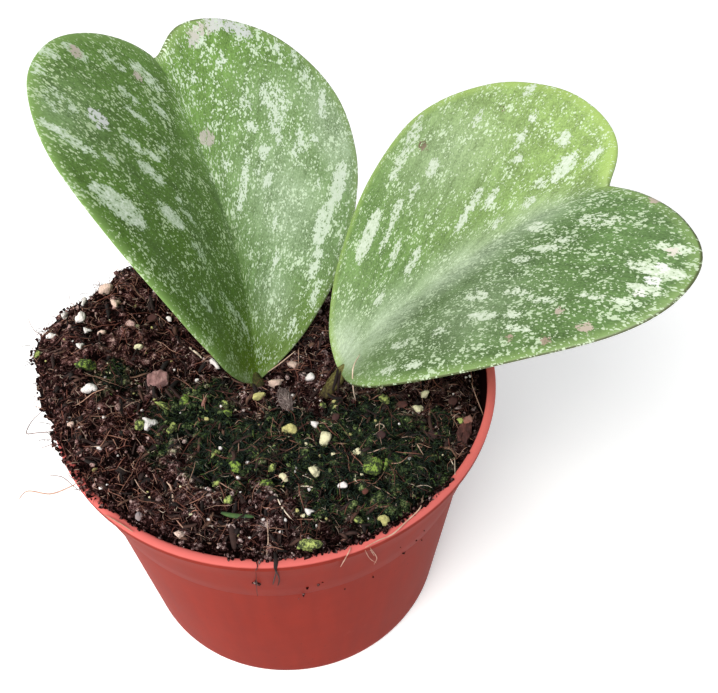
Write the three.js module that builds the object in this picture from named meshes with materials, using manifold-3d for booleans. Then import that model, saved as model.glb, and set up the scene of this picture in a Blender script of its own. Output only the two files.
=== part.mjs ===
// A potted sweetheart hoya: two thick heart-shaped leaves rooted in a small plastic nursery pot.
// Millimetres, +Z up. The origin is on the pot's axis, in the flat face it stands on, and -Y is
// the side that the plant is looked at from.
import * as THREE from "three";
import { mergeVertices } from "three/addons/utils/BufferGeometryUtils.js";
import Module from "manifold-3d";

const wasm = await Module();
wasm.setup();

// Driving dimensions of the pot, a standard 4 inch size
const RIM_RADIUS = 51;
const POT_HEIGHT = 76;
const LIP_WIDTH = 2;
const WALL = 1.2;
const COLLAR_DEPTH = 22;
const COLLAR_RADIUS = 46;
const COLLAR_STEP = 0.4;
const FOOT_RADIUS = 41.3;
const FOOT_BEVEL = 1.3;
const CENTRE_DISC_RADIUS = 22;
const DRAIN_RING_RISE = 1.5;
const DRAIN_HOLE_RADIUS = 4;
const DRAIN_HOLES = 8;
const DRAIN_CIRCLE_RADIUS = 30;
const POT_SIDES = 64;

// Clearance between solids that touch in the real plant
const GAP = 0.3;

// Driving dimensions of the soil
const SOIL_LEVEL = 72;
const SOIL_FALL_RIGHT = 0.055;
const SOIL_RISE_FRONT = 0.05;
const HEAP_RISE = 4.6;
const HEAP_CENTRE = { x: -45, y: 9 };
const HEAP_SPREAD = { x: 18, y: 34 };
const SPILL_FROM = 132;
const SPILL_TO = 213;
const SPILL_FADE = 11;
const SPILL_REACH = 6.5;
const SHOULDER = 7;
const CLODS = 420;
const CLOD_RADIUS = { least: 2, most: 4.6 };
const CLOD_HEIGHT = { least: 0.5, most: 2.1 };
const SOIL_CELL = 2.5;

// Perlite and other grains that show on the soil: where they lie and their half sizes
const LARGE_GRAINS = [
  { x: -47.5, y: 13.7, r: 1.5 },
  { x: -44.9, y: 26.8, r: 1.2 },
  { x: -42.9, y: -1, r: 1.6 },
  { x: -41.2, y: -7.5, r: 1.6 },
  { x: -26.8, y: -14.9, r: 1.8 },
  { x: -26.5, y: -23.9, r: 1.4 },
  { x: 11.4, y: -15.6, r: 1.4 },
  { x: 9.1, y: -13.7, r: 1.1 },
  { x: 22.6, y: -25.2, r: 2.1 },
  { x: 25.4, y: -24.3, r: 1.3 },
  { x: 32.8, y: -7.3, r: 1.6 },
  { x: 27.1, y: -34.4, r: 1.1 },
  { x: 24.7, y: -38.9, r: 1.5 },
  { x: 9.1, y: -46.1, r: 1.7 },
  { x: 10.2, y: -27, r: 1.2 },
  { x: 25.3, y: -6.7, r: 1.2 },
  { x: 4.2, y: -15.1, r: 1.2 },
  { x: 3.7, y: 4.9, r: 1.3 },
];
const SMALL_GRAINS = 40;
const SMALL_GRAIN_RADIUS = { least: 0.7, most: 1.15 };

// Each leaf. Angles are in degrees: heading is the way it points, from +Y towards +X, rise is
// its midrib's slope, and roll turns its face. Each half has its own outline and fold.
const LEFT_LEAF = {
  base: [-3.9, -3.4, 74.5],
  heading: -27.9,
  rise: 52,
  roll: -28.2,
  bend: -0.001,
  sweep: 6.2,
  midrib: 74.6,
  near: {
    fold: [39, 9.3], curl: 0.0015, shoulder: 72.3, width: 40, widestAt: 56.2,
    lobe: [15.9, 81.5], notch: 38.6,
  },
  far: {
    fold: [22.8, 17.5], curl: 0.0016, shoulder: 80.4, width: 40.8, widestAt: 51.9,
    lobe: [13.9, 80.7], notch: 86.1,
  },
  stalk: [[-3.4, -3.8, 62], [-3.4, -3.8, 68], [-3.5, -3.8, 71.5], [-3.9, -3.2, 75.2]],
};
const RIGHT_LEAF = {
  base: [13.8, 0.1, 76.2],
  heading: 79.5,
  rise: 36.7,
  roll: -3.1,
  bend: -0.001,
  sweep: -5.9,
  midrib: 72.6,
  near: {
    fold: [13.7, 15.5], curl: 0.0002, shoulder: 95.2, width: 40.1, widestAt: 44.3,
    lobe: [14.1, 79.2], notch: 67.3,
  },
  far: {
    fold: [34.2, 5.7], curl: 0.0016, shoulder: 73.3, width: 37, widestAt: 57.2,
    lobe: [18.5, 81.4], notch: 44.9,
  },
  stalk: [[10.8, -6.4, 60], [10.9, -6.2, 66], [11.4, -4.9, 71.4], [14.2, 0.4, 76.6]],
};
const LEAF_THICKNESS = 2.4;
const MARGIN_ROUNDNESS = 10;
const VALLEY_RADIUS = 6;
const STALK_RADIUS = 1.7;
const STALK_SIDES = 10;

// The bark chips and the husk: where they lie, their sizes and how they are turned
const BARK_LEFT = { x: -27.3, y: -3, size: [5.2, 4.6, 2.6], turn: 25 };
const BARK_RIGHT = { x: 43.2, y: -14.6, size: [3.4, 7.6, 2.4], turn: -18 };
const HUSK = { x: 2.2, y: -6.6, size: [4.2, 8, 0.8], turn: 20, arch: 0.9 };

const degrees = THREE.MathUtils.degToRad;

// A repeatable stream of numbers from 0 to 1
function randomStream(seed) {
  let state = seed;
  return () => {
    state = (state * 1664525 + 1013904223) % 4294967296;
    return state / 4294967296;
  };
}

function between(range, share) {
  return range.least + (range.most - range.least) * share;
}

// The solid of a closed geometry
function solidOf(geometry) {
  const bare = geometry.clone();
  bare.deleteAttribute("normal");
  bare.deleteAttribute("uv");
  const merged = mergeVertices(bare, 1e-4);
  const index = merged.index.array;
  const corners = [];
  for (let i = 0; i < index.length; i += 3) {
    const [a, b, c] = [index[i], index[i + 1], index[i + 2]];
    if (a !== b && b !== c && c !== a) corners.push(a, b, c);
  }
  return new wasm.Manifold(
    new wasm.Mesh({
      numProp: 3,
      vertProperties: merged.attributes.position.array,
      triVerts: new Uint32Array(corners),
    }),
  );
}

function geometryOf(solid) {
  const mesh = solid.getMesh();
  const geometry = new THREE.BufferGeometry();
  geometry.setAttribute("position", new THREE.BufferAttribute(mesh.vertProperties, 3));
  geometry.setIndex(new THREE.BufferAttribute(mesh.triVerts, 1));
  geometry.computeVertexNormals();
  return geometry;
}

function largestBody(solid) {
  const bodies = solid.decompose();
  return bodies.reduce((a, b) => (a.volume() > b.volume() ? a : b));
}

// A profile of [radius, height] pairs turned round the Z axis
function turned(profile) {
  const points = profile.map(([r, z]) => new THREE.Vector2(r, z));
  return new THREE.LatheGeometry(points, POT_SIDES).rotateX(Math.PI / 2);
}

// Radius of the pot's outside at a height, up to the lip
const COLLAR_BOTTOM = POT_HEIGHT - COLLAR_DEPTH;
const LIP_BOTTOM = POT_HEIGHT - 2.6;
function outerRadius(z) {
  if (z < COLLAR_BOTTOM) {
    return THREE.MathUtils.mapLinear(z, 0, COLLAR_BOTTOM, FOOT_RADIUS, COLLAR_RADIUS);
  }
  const low = COLLAR_RADIUS + COLLAR_STEP;
  return THREE.MathUtils.mapLinear(z, COLLAR_BOTTOM, LIP_BOTTOM, low, RIM_RADIUS - 0.7);
}

const FLOOR_TOP = DRAIN_RING_RISE + WALL;
const LIP_INNER = RIM_RADIUS - LIP_WIDTH;

function makePot() {
  const lipTop = [0, 1, 2, 3, 4].map((i) => {
    const a = (i / 4) * Math.PI;
    const middle = RIM_RADIUS - LIP_WIDTH / 2;
    return [middle + Math.cos(a) * (LIP_WIDTH / 2), POT_HEIGHT + (Math.sin(a) - 1) * 0.7];
  });
  const profile = [
    [0, 0],
    [CENTRE_DISC_RADIUS, 0],
    [CENTRE_DISC_RADIUS + 2, DRAIN_RING_RISE],
    [FOOT_RADIUS - 4.8, DRAIN_RING_RISE],
    [FOOT_RADIUS - 3.8, 0],
    [FOOT_RADIUS - FOOT_BEVEL, 0],
    [outerRadius(FOOT_BEVEL) - 0.2, FOOT_BEVEL * 0.4],
    [outerRadius(FOOT_BEVEL), FOOT_BEVEL],
    [COLLAR_RADIUS, COLLAR_BOTTOM],
    [COLLAR_RADIUS + COLLAR_STEP, COLLAR_BOTTOM + 0.5],
    [outerRadius(LIP_BOTTOM), LIP_BOTTOM],
    [RIM_RADIUS, LIP_BOTTOM + 0.8],
    ...lipTop,
    [outerRadius(LIP_BOTTOM) - WALL, LIP_BOTTOM],
    [COLLAR_RADIUS + COLLAR_STEP - WALL, COLLAR_BOTTOM + 0.5],
    [COLLAR_RADIUS - WALL, COLLAR_BOTTOM],
    [outerRadius(FLOOR_TOP) - WALL, FLOOR_TOP],
    [CENTRE_DISC_RADIUS + 1, FLOOR_TOP],
    [CENTRE_DISC_RADIUS - 1, WALL],
    [0, WALL],
  ];
  let pot = solidOf(turned(profile));
  for (let i = 0; i < DRAIN_HOLES; i++) {
    const a = (i / DRAIN_HOLES) * 2 * Math.PI;
    const hole = new THREE.CylinderGeometry(DRAIN_HOLE_RADIUS, DRAIN_HOLE_RADIUS, 12, 14);
    hole.rotateX(Math.PI / 2);
    hole.translate(Math.cos(a) * DRAIN_CIRCLE_RADIUS, Math.sin(a) * DRAIN_CIRCLE_RADIUS, 0);
    pot = pot.subtract(solidOf(hole));
  }
  return pot;
}

// The soil's surface: a level that falls to the right and rises to the front, a heap that has
// spilled over the lip on the left, and clods
const OVER_LIP = POT_HEIGHT + GAP;
const clodRandom = randomStream(4021);
const clods = [];
for (let i = 0; i < CLODS; i++) {
  const a = clodRandom() * 2 * Math.PI;
  const d = Math.sqrt(clodRandom()) * (LIP_INNER + SPILL_REACH);
  clods.push({
    x: Math.cos(a) * d,
    y: Math.sin(a) * d,
    r: between(CLOD_RADIUS, clodRandom()),
    h: between(CLOD_HEIGHT, clodRandom() ** 2),
  });
}

function clodHeight(x, y) {
  let height = 0;
  for (const clod of clods) {
    const share = ((x - clod.x) ** 2 + (y - clod.y) ** 2) / clod.r ** 2;
    if (share < 1) height = Math.max(height, clod.h * Math.sqrt(1 - share));
  }
  return height;
}

function spillEdge(x, y) {
  const angle = (THREE.MathUtils.radToDeg(Math.atan2(y, x)) + 360) % 360;
  const start = THREE.MathUtils.smoothstep(angle, SPILL_FROM - SPILL_FADE, SPILL_FROM + SPILL_FADE);
  const end = 1 - THREE.MathUtils.smoothstep(angle, SPILL_TO - SPILL_FADE, SPILL_TO + SPILL_FADE);
  const ragged = 1 + 0.16 * Math.sin(degrees(angle) * 9);
  return LIP_INNER - 0.5 + start * end * SPILL_REACH * ragged;
}

function soilHeight(x, y) {
  const [u, v] = [(x - HEAP_CENTRE.x) / HEAP_SPREAD.x, (y - HEAP_CENTRE.y) / HEAP_SPREAD.y];
  const heap = HEAP_RISE * Math.exp(-u * u - v * v);
  const level = SOIL_LEVEL - SOIL_FALL_RIGHT * x - SOIL_RISE_FRONT * y + heap;
  const height = level + clodHeight(x, y) - 0.5;
  const low = POT_HEIGHT + 0.1;
  if (height < low) return height;
  const share = THREE.MathUtils.clamp((Math.hypot(x, y) - spillEdge(x, y)) / SHOULDER + 1, 0, 1);
  return low + (height - low) * Math.cos((share * Math.PI) / 2);
}

// A lumpy grain of 20 faces, sunk by two fifths of its height
function grain(x, y, radius, random) {
  const stone = new THREE.IcosahedronGeometry(radius, 0);
  stone.rotateX(random() * 6);
  stone.rotateZ(random() * 6);
  stone.scale(0.85 + random() * 0.5, 0.85 + random() * 0.3, 0.8);
  stone.translate(x, y, soilHeight(x, y) + radius * 0.2);
  return solidOf(stone);
}

function makeSoil(cutters) {
  const span = 2 * (LIP_INNER + SPILL_REACH + 5);
  const cells = Math.round(span / SOIL_CELL);
  const block = new THREE.BoxGeometry(span, span, 2, cells, cells, 1);
  const position = block.getAttribute("position");
  for (let i = 0; i < position.count; i++) {
    const [x, y, top] = [position.getX(i), position.getY(i), position.getZ(i) > 0];
    position.setZ(i, top ? soilHeight(x, y) : 0);
  }
  const room = turned([
    [0, FLOOR_TOP + GAP],
    [outerRadius(FLOOR_TOP) - WALL - GAP, FLOOR_TOP + GAP],
    [COLLAR_RADIUS - WALL - GAP, COLLAR_BOTTOM],
    [COLLAR_RADIUS + COLLAR_STEP - WALL - GAP, COLLAR_BOTTOM + 0.5],
    [outerRadius(LIP_BOTTOM) - WALL - GAP - 0.1, LIP_BOTTOM],
    [LIP_INNER - GAP, OVER_LIP],
    [RIM_RADIUS + 20, OVER_LIP],
    [RIM_RADIUS + 20, POT_HEIGHT + 20],
    [0, POT_HEIGHT + 20],
  ]);
  let soil = solidOf(block).intersect(solidOf(room));
  const random = randomStream(77);
  for (const { x, y, r } of LARGE_GRAINS) soil = soil.add(grain(x, y, r, random));
  for (let i = 0; i < SMALL_GRAINS; i++) {
    const a = random() * 2 * Math.PI;
    const d = Math.sqrt(random()) * (LIP_INNER - 3);
    const radius = between(SMALL_GRAIN_RADIUS, random());
    soil = soil.add(grain(Math.cos(a) * d, Math.sin(a) * d, radius, random));
  }
  for (const cutter of cutters) soil = soil.subtract(cutter);
  return largestBody(soil);
}

// Half of a heart's outline from the stalk to the notch between the lobes
function halfOutline({ shoulder, width, widestAt, lobe, notch }, midrib) {
  const round = 0.5523;
  const at = (x, y) => new THREE.Vector2(x, y);
  const [sa, na] = [degrees(shoulder), degrees(notch)];
  const [lobeX, lobeY] = lobe;
  const reach = 0.42 * widestAt;
  const dip = 0.6 * (lobeY - midrib);
  const side = new THREE.CubicBezierCurve(
    at(0, 0), at(Math.sin(sa) * reach, Math.cos(sa) * reach),
    at(width, widestAt * 0.62), at(width, widestAt),
  );
  const top = new THREE.CubicBezierCurve(
    at(width, widestAt), at(width, widestAt + round * (lobeY - widestAt)),
    at(lobeX + round * (width - lobeX), lobeY), at(lobeX, lobeY),
  );
  const inside = new THREE.CubicBezierCurve(
    at(lobeX, lobeY), at(lobeX * (1 - round), lobeY),
    at(Math.sin(na) * dip, midrib + Math.cos(na) * dip), at(0, midrib),
  );
  return [...side.getPoints(11), ...top.getPoints(9).slice(1), ...inside.getPoints(5).slice(1)];
}

// A blade in its own frame: midrib along +Y, face towards +Z. Both faces use one pattern of
// triangles, so they never cross.
function bladeGeometry(leaf) {
  const columns = [0, 0.14, 0.3, 0.47, 0.64, 0.79, 0.9, 0.965, 1];
  const corners = [];
  for (const [half, sign] of [[leaf.near, -1], [leaf.far, 1]]) {
    const outline = halfOutline(half, leaf.midrib);
    const last = outline.length - 1;
    const point = (row, column, face) => {
      const t = columns[column];
      const x = outline[row].x * t;
      const y = THREE.MathUtils.lerp((leaf.midrib * row) / last, outline[row].y, t);
      const fold = degrees(THREE.MathUtils.lerp(half.fold[0], half.fold[1], y / leaf.midrib));
      const taper = Math.sqrt(Math.min(1, row / 3, (last - row) / 2));
      const thick = (LEAF_THICKNESS / 2) * taper * Math.sqrt(1 - t ** MARGIN_ROUNDNESS);
      const dip = Math.hypot(x, VALLEY_RADIUS) - VALLEY_RADIUS;
      const valley = Math.tan(fold) * dip - half.curl * x * x;
      const z = valley + face * thick - LEAF_THICKNESS / 2;
      const along = leaf.bend * y;
      const sweep = leaf.sweep * 4 * (y / leaf.midrib) * (1 - y / leaf.midrib);
      return [
        sign * x + sweep,
        Math.sin(along) / leaf.bend + z * Math.sin(along),
        -(1 - Math.cos(along)) / leaf.bend + z * Math.cos(along),
      ];
    };
    for (let row = 0; row < last; row++) {
      for (let column = 0; column < columns.length - 1; column++) {
        for (const face of [1, -1]) {
          const a = point(row, column, face);
          const b = point(row, column + 1, face);
          const c = point(row + 1, column + 1, face);
          const d = point(row + 1, column, face);
          const quad = sign * face > 0 ? [a, b, c, a, c, d] : [a, c, b, a, d, c];
          corners.push(...quad.flat());
        }
      }
    }
  }
  const geometry = new THREE.BufferGeometry();
  geometry.setAttribute("position", new THREE.Float32BufferAttribute(corners, 3));
  return geometry;
}

function leafFrame({ base, heading, rise, roll }) {
  const [az, el, ro] = [degrees(heading), degrees(rise), degrees(roll)];
  const along = new THREE.Vector3(Math.sin(az) * Math.cos(el), Math.cos(az) * Math.cos(el), Math.sin(el));
  const level = new THREE.Vector3(Math.cos(az), -Math.sin(az), 0);
  const face = new THREE.Vector3().crossVectors(level, along);
  const across = level.clone().applyAxisAngle(along, -ro);
  const up = face.clone().applyAxisAngle(along, -ro);
  return new THREE.Matrix4().makeBasis(across, along, up).setPosition(...base);
}

// A leaf's stalk, from its swollen foot in the soil to the blade
function stalkSolid(leaf, grow) {
  const points = leaf.stalk.map((p) => new THREE.Vector3(...p));
  const radius = STALK_RADIUS + grow;
  const circle = new THREE.Shape(
    Array.from({ length: STALK_SIDES }, (_, i) => {
      const a = (i / STALK_SIDES) * 2 * Math.PI;
      return new THREE.Vector2(Math.cos(a) * radius, Math.sin(a) * radius);
    }),
  );
  const tube = new THREE.ExtrudeGeometry(circle, {
    extrudePath: new THREE.CatmullRomCurve3(points),
    steps: 10,
    bevelEnabled: false,
  });
  const foot = new THREE.SphereGeometry(radius * 1.25, STALK_SIDES, 6);
  foot.translate(...leaf.stalk[0]);
  return solidOf(tube).add(solidOf(foot));
}

function makeLeaf(leaf) {
  const blade = solidOf(bladeGeometry(leaf).applyMatrix4(leafFrame(leaf)));
  const joint = new THREE.SphereGeometry(STALK_RADIUS * 1.2, STALK_SIDES, 8);
  joint.translate(...leaf.stalk.at(-1));
  return stalkSolid(leaf, 0).add(solidOf(joint)).add(blade);
}

// A flat broken chip of bark, lying on the soil
function chipGeometry({ size }, grow) {
  const [width, length, height] = size.map((s) => s / 2 + grow);
  const corners = [[1, 0.1], [0.62, 0.8], [-0.2, 1], [-0.9, 0.55], [-1, -0.3], [-0.35, -1], [0.7, -0.8]];
  const shape = new THREE.Shape(corners.map(([x, y]) => new THREE.Vector2(x * width, y * length)));
  const chip = new THREE.ExtrudeGeometry(shape, { depth: 2 * height, bevelEnabled: false });
  return chip.translate(0, 0, -height);
}

// A dry husk: a thin flake arched across its length
function huskGeometry({ size, arch }, grow) {
  const [width, length, height] = size.map((s) => s + 2 * grow);
  const flake = new THREE.BoxGeometry(width, length, height, 4, 6, 1);
  const position = flake.getAttribute("position");
  for (let i = 0; i < position.count; i++) {
    const [x, y, z] = [position.getX(i), position.getY(i), position.getZ(i)];
    const taper = 1 - 0.55 * Math.abs(y / length) ** 1.5 * 2;
    position.setX(i, x * taper);
    position.setZ(i, z + arch * (1 - (y / (size[1] / 2)) ** 2) - 0.12 * x * x);
  }
  return flake;
}

function litterPlace({ x, y, turn }, lift) {
  const place = new THREE.Matrix4().makeRotationZ(degrees(turn));
  return place.setPosition(x, y, soilHeight(x, y) + lift);
}

const litter = [
  { name: "bark_chip_left", make: chipGeometry, piece: BARK_LEFT, lift: 0.3, colour: 0x7d6266 },
  { name: "bark_chip_right", make: chipGeometry, piece: BARK_RIGHT, lift: 0.3, colour: 0x6b3230 },
  { name: "dry_husk", make: huskGeometry, piece: HUSK, lift: 0.2, colour: 0x8a8078 },
];

const plant = new THREE.Group();

function place(name, geometry, colour, roughness) {
  const material = new THREE.MeshStandardMaterial({ color: colour, roughness, metalness: 0 });
  const mesh = new THREE.Mesh(geometry, material);
  mesh.name = name;
  plant.add(mesh);
  return mesh;
}

const seats = litter.map(({ make, piece, lift }) => {
  return solidOf(make(piece, GAP).applyMatrix4(litterPlace(piece, lift)));
});
const holes = [LEFT_LEAF, RIGHT_LEAF].map((leaf) => stalkSolid(leaf, GAP + 0.05));

place("pot", geometryOf(makePot()), 0xb5493f, 0.5);
place("soil", geometryOf(makeSoil([...holes, ...seats])), 0x2e211b, 0.95);
place("leaf_left", geometryOf(makeLeaf(LEFT_LEAF)), 0x4f7d33, 0.4);
place("leaf_right", geometryOf(makeLeaf(RIGHT_LEAF)), 0x5f9038, 0.4);
for (const { name, make, piece, lift, colour } of litter) {
  const mesh = place(name, geometryOf(solidOf(make(piece, 0))), colour, 0.9);
  mesh.applyMatrix4(litterPlace(piece, lift));
}

export default plant;
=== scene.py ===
import math

import bmesh
import bpy
import numpy as np
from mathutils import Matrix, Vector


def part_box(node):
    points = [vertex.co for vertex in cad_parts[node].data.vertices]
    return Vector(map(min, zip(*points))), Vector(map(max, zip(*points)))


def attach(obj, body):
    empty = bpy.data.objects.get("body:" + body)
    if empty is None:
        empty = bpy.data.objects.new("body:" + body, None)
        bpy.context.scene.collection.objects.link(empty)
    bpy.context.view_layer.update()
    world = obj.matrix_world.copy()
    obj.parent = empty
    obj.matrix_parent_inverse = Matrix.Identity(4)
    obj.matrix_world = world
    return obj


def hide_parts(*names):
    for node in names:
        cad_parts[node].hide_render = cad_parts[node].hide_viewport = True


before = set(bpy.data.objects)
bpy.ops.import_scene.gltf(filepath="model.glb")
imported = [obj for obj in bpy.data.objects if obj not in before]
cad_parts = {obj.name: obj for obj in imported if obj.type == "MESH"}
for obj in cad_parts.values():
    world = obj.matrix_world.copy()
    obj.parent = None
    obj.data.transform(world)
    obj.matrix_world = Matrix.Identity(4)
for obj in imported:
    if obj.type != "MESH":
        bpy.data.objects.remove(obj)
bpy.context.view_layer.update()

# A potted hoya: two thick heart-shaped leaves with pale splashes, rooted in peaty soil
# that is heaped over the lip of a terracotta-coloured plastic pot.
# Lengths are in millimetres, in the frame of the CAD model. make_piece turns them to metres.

MM = 0.001

# The pot, as in the CAD model
RIM_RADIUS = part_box("pot")[1].x / MM
POT_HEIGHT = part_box("pot")[1].z / MM
LIP_WIDTH = 2
LIP_INNER = RIM_RADIUS - LIP_WIDTH
LIP_BOTTOM = 73.4
LIP_OVERHANG = 1.1
LIP_ROUNDNESS = 0.7
LIP_INSIDE_FOOT = 74.2
WALL = 1.2
COLLAR_BOTTOM = 54
COLLAR_RADIUS = 46
COLLAR_STEP = 0.4
WALL_SLOPE = (RIM_RADIUS - LIP_OVERHANG - COLLAR_RADIUS) / (LIP_BOTTOM - COLLAR_BOTTOM)
FOOT_RADIUS = 41.3
FOOT_BEVEL = 1.3
FLOOR_TOP = 2.7
DRAIN_RING = (22, 37.5)
DRAIN_RING_RISE = 1.5
DRAIN_HOLES = 8
DRAIN_HOLE_RADIUS = 4
DRAIN_CIRCLE_RADIUS = 30
# Heights where the wall has rings of points, below the collar's step and above it
LOW_RINGS = (4, 20, 37)
HIGH_RINGS = (60, 67)

# The soil, as in the CAD model, but for a low bank at the back left and for the edge of the spill,
# which is drawn more closely: by the angle round the pot, how far past the inside of the lip it is
SOIL_LEVEL = 72
SOIL_FALL_RIGHT = 0.055
SOIL_RISE_FRONT = 0.05
HEAP_RISE = 4.6
HEAP_CENTRE = (-45, 9)
HEAP_SPREAD = (18, 34)
BANK_RISE = 3.2
BANK_CENTRE = (-38, 35)
BANK_SPREAD = 11
SPILL = [
    (114, 0), (124, 2.6), (134, 3.6), (142, 4), (150, 4.2), (157, 6.2), (164, 8.9), (171, 10.8),
    (176, 9.6), (183, 7.4), (191, 5.4), (199, 3.4), (207, 2.6), (218, 1.8), (226, 1.2), (233, 0),
]
# The ragged edge of the spill: the height of its waves, and how many go round the pot
RAGGED_WAVES = ((0.35, 23), (0.25, 41))
SHOULDER = 7
OVER_LIP = POT_HEIGHT + 0.3
CLOD_SEED = 4021
CLODS = 420
CLOD_REACH = 55.5
CLOD_RADIUS = (2, 4.6)
CLOD_HEIGHT = (0.5, 2.1)
FINE_CRUMBS = 7000
FINE_CRUMB_RADIUS = (0.45, 1.55)

# The leaves, as in the CAD model, but that the right one's halves widen a little lower. Angles are
# in degrees. Near and far are a leaf's two halves, left and right of its crease in the flat leaf.
LEAF_THICKNESS = 2.4
MARGIN_ROUNDNESS = 10
VALLEY_RADIUS = 6
STALK_RADIUS = 1.7
STALK_GRIP = 3
LEFT_LEAF = {
    "base": (-3.9, -3.4, 74.5),
    "heading": -27.9,
    "rise": 52,
    "roll": -28.2,
    "bend": -0.001,
    "sweep": 6.2,
    "midrib": 74.6,
    "near": {
        "fold": (39, 9.3), "curl": 0.0015, "shoulder": 72.3, "width": 40, "widest_at": 56.2,
        "lobe": (15.9, 81.5), "notch": 38.6,
    },
    "far": {
        "fold": (22.8, 17.5), "curl": 0.0016, "shoulder": 80.4, "width": 40.8, "widest_at": 51.9,
        "lobe": (13.9, 80.7), "notch": 86.1,
    },
    "stalk": [(-3.4, -3.8, 62), (-3.4, -3.8, 68), (-3.5, -3.8, 71.5), (-3.9, -3.2, 75.2)],
}
RIGHT_LEAF = {
    "base": (13.8, 0.1, 76.2),
    "heading": 79.5,
    "rise": 36.7,
    "roll": -3.1,
    "bend": -0.001,
    "sweep": -5.9,
    "midrib": 72.6,
    "near": {
        "fold": (13.7, 15.5), "curl": 0.0002, "shoulder": 101, "width": 40.1, "widest_at": 44.3,
        "lobe": (14.1, 79.2), "notch": 67.3,
    },
    "far": {
        "fold": (34.2, 5.7), "curl": 0.0016, "shoulder": 78, "width": 37, "widest_at": 57.2,
        "lobe": (18.5, 81.4), "notch": 44.9,
    },
    "stalk": [(10.8, -6.4, 60), (10.9, -6.2, 66), (11.4, -4.9, 71.4), (14.2, 0.4, 76.6)],
}

# The places of the marks, grains, flakes and strands below were picked in the photograph, and
# turned to millimetres with the fitted camera before they came here.

# Splashes on each leaf: across and along the leaf from its base, length, width and strength
LEFT_SPLASHES = [
    (-33.5, 62.5, 12, 2.2, 1), (-31.5, 48, 14, 5.2, 1), (-19, 43, 9, 3.2, 1),
    (-25, 78.5, 4, 2.2, 0.8), (-19, 78, 5, 2.8, 0.8), (-11.5, 75, 5, 1.6, 0.7),
    (-5.5, 71, 8, 3.2, 0.8), (-7, 64, 5, 1.8, 0.9), (-13, 68, 6, 1.4, 0.9), (-14, 64, 6, 1.6, 1),
    (-19, 58.5, 6, 1.8, 0.9), (-15.5, 55.5, 5, 1.6, 0.9), (-18.5, 52.5, 8, 2.6, 0.9),
    (-13, 41.5, 6, 1.4, 0.7), (-31.5, 69.5, 6, 4, 0.4), (-24.5, 64.5, 5, 3.6, 0.7),
    (-39.5, 54, 5, 2, 0.4), (-30, 76.5, 5, 3.2, 0.35), (-18, 23.5, 6, 2.2, 0.6),
    (-7.5, 19.5, 8, 1.2, 0.6), (-3, 14, 8, 1, 0.6), (-14, 33.5, 6, 2, 0.6),
    (12.5, 77.5, 5, 2.6, 0.8), (18, 79.5, 6, 3, 0.9), (23, 77.5, 8, 3, 0.9),
    (14.5, 71.5, 4, 1.8, 0.8), (6, 69, 3, 1.2, 0.7), (4.5, 49, 3, 1.4, 0.7), (7, 44, 14, 1.7, 1),
    (13.5, 43.5, 5, 2, 1), (14.5, 49.5, 4, 2.4, 1), (22, 57.5, 12, 4.6, 0.58),
    (25, 48.5, 3, 2, 0.8), (33.5, 54.5, 3, 2, 0.8), (31, 37, 12, 4, 1), (24, 29.5, 12, 4.4, 0.95),
    (19.5, 21, 8, 2.8, 0.8), (18, 14, 7, 1.8, 0.7), (9.5, 25, 4, 1.5, 0.9), (11.5, 33, 4, 1.3, 0.9),
    (10.5, 9, 5, 1.2, 0.7), (21.5, 61.5, 6.2, 4.3, 0.5), (15, 61, 3.4, 3.1, 0.5),
    (35, 57.5, 6.2, 1.7, 0.8), (33.5, 64, 3.4, 1.7, 0.6), (33, 69, 4.8, 1.7, 0.6),
    (29.5, 71.5, 3.4, 1.7, 0.7), (25, 51, 2.9, 2.2, 0.8), (28.5, 49.5, 1.9, 2.9, 0.75),
    (22.5, 48, 3.8, 1.7, 0.8), (19.5, 51.5, 3.8, 1.9, 0.7), (11.5, 46, 2.9, 1.4, 0.8),
    (29, 35.5, 3.4, 1.9, 0.9), (25.5, 39, 2.9, 1, 0.8), (14, 56, 3.1, 2.9, 0.6),
    (-29, 70.5, 3.8, 1.9, 0.5), (-28.5, 67.5, 2.9, 1.9, 0.55), (-27.5, 57, 3.4, 1.4, 0.7),
    (-11.5, 56, 3.4, 1.2, 0.7), (-14, 45.5, 2.9, 1.2, 0.8),
]
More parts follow.
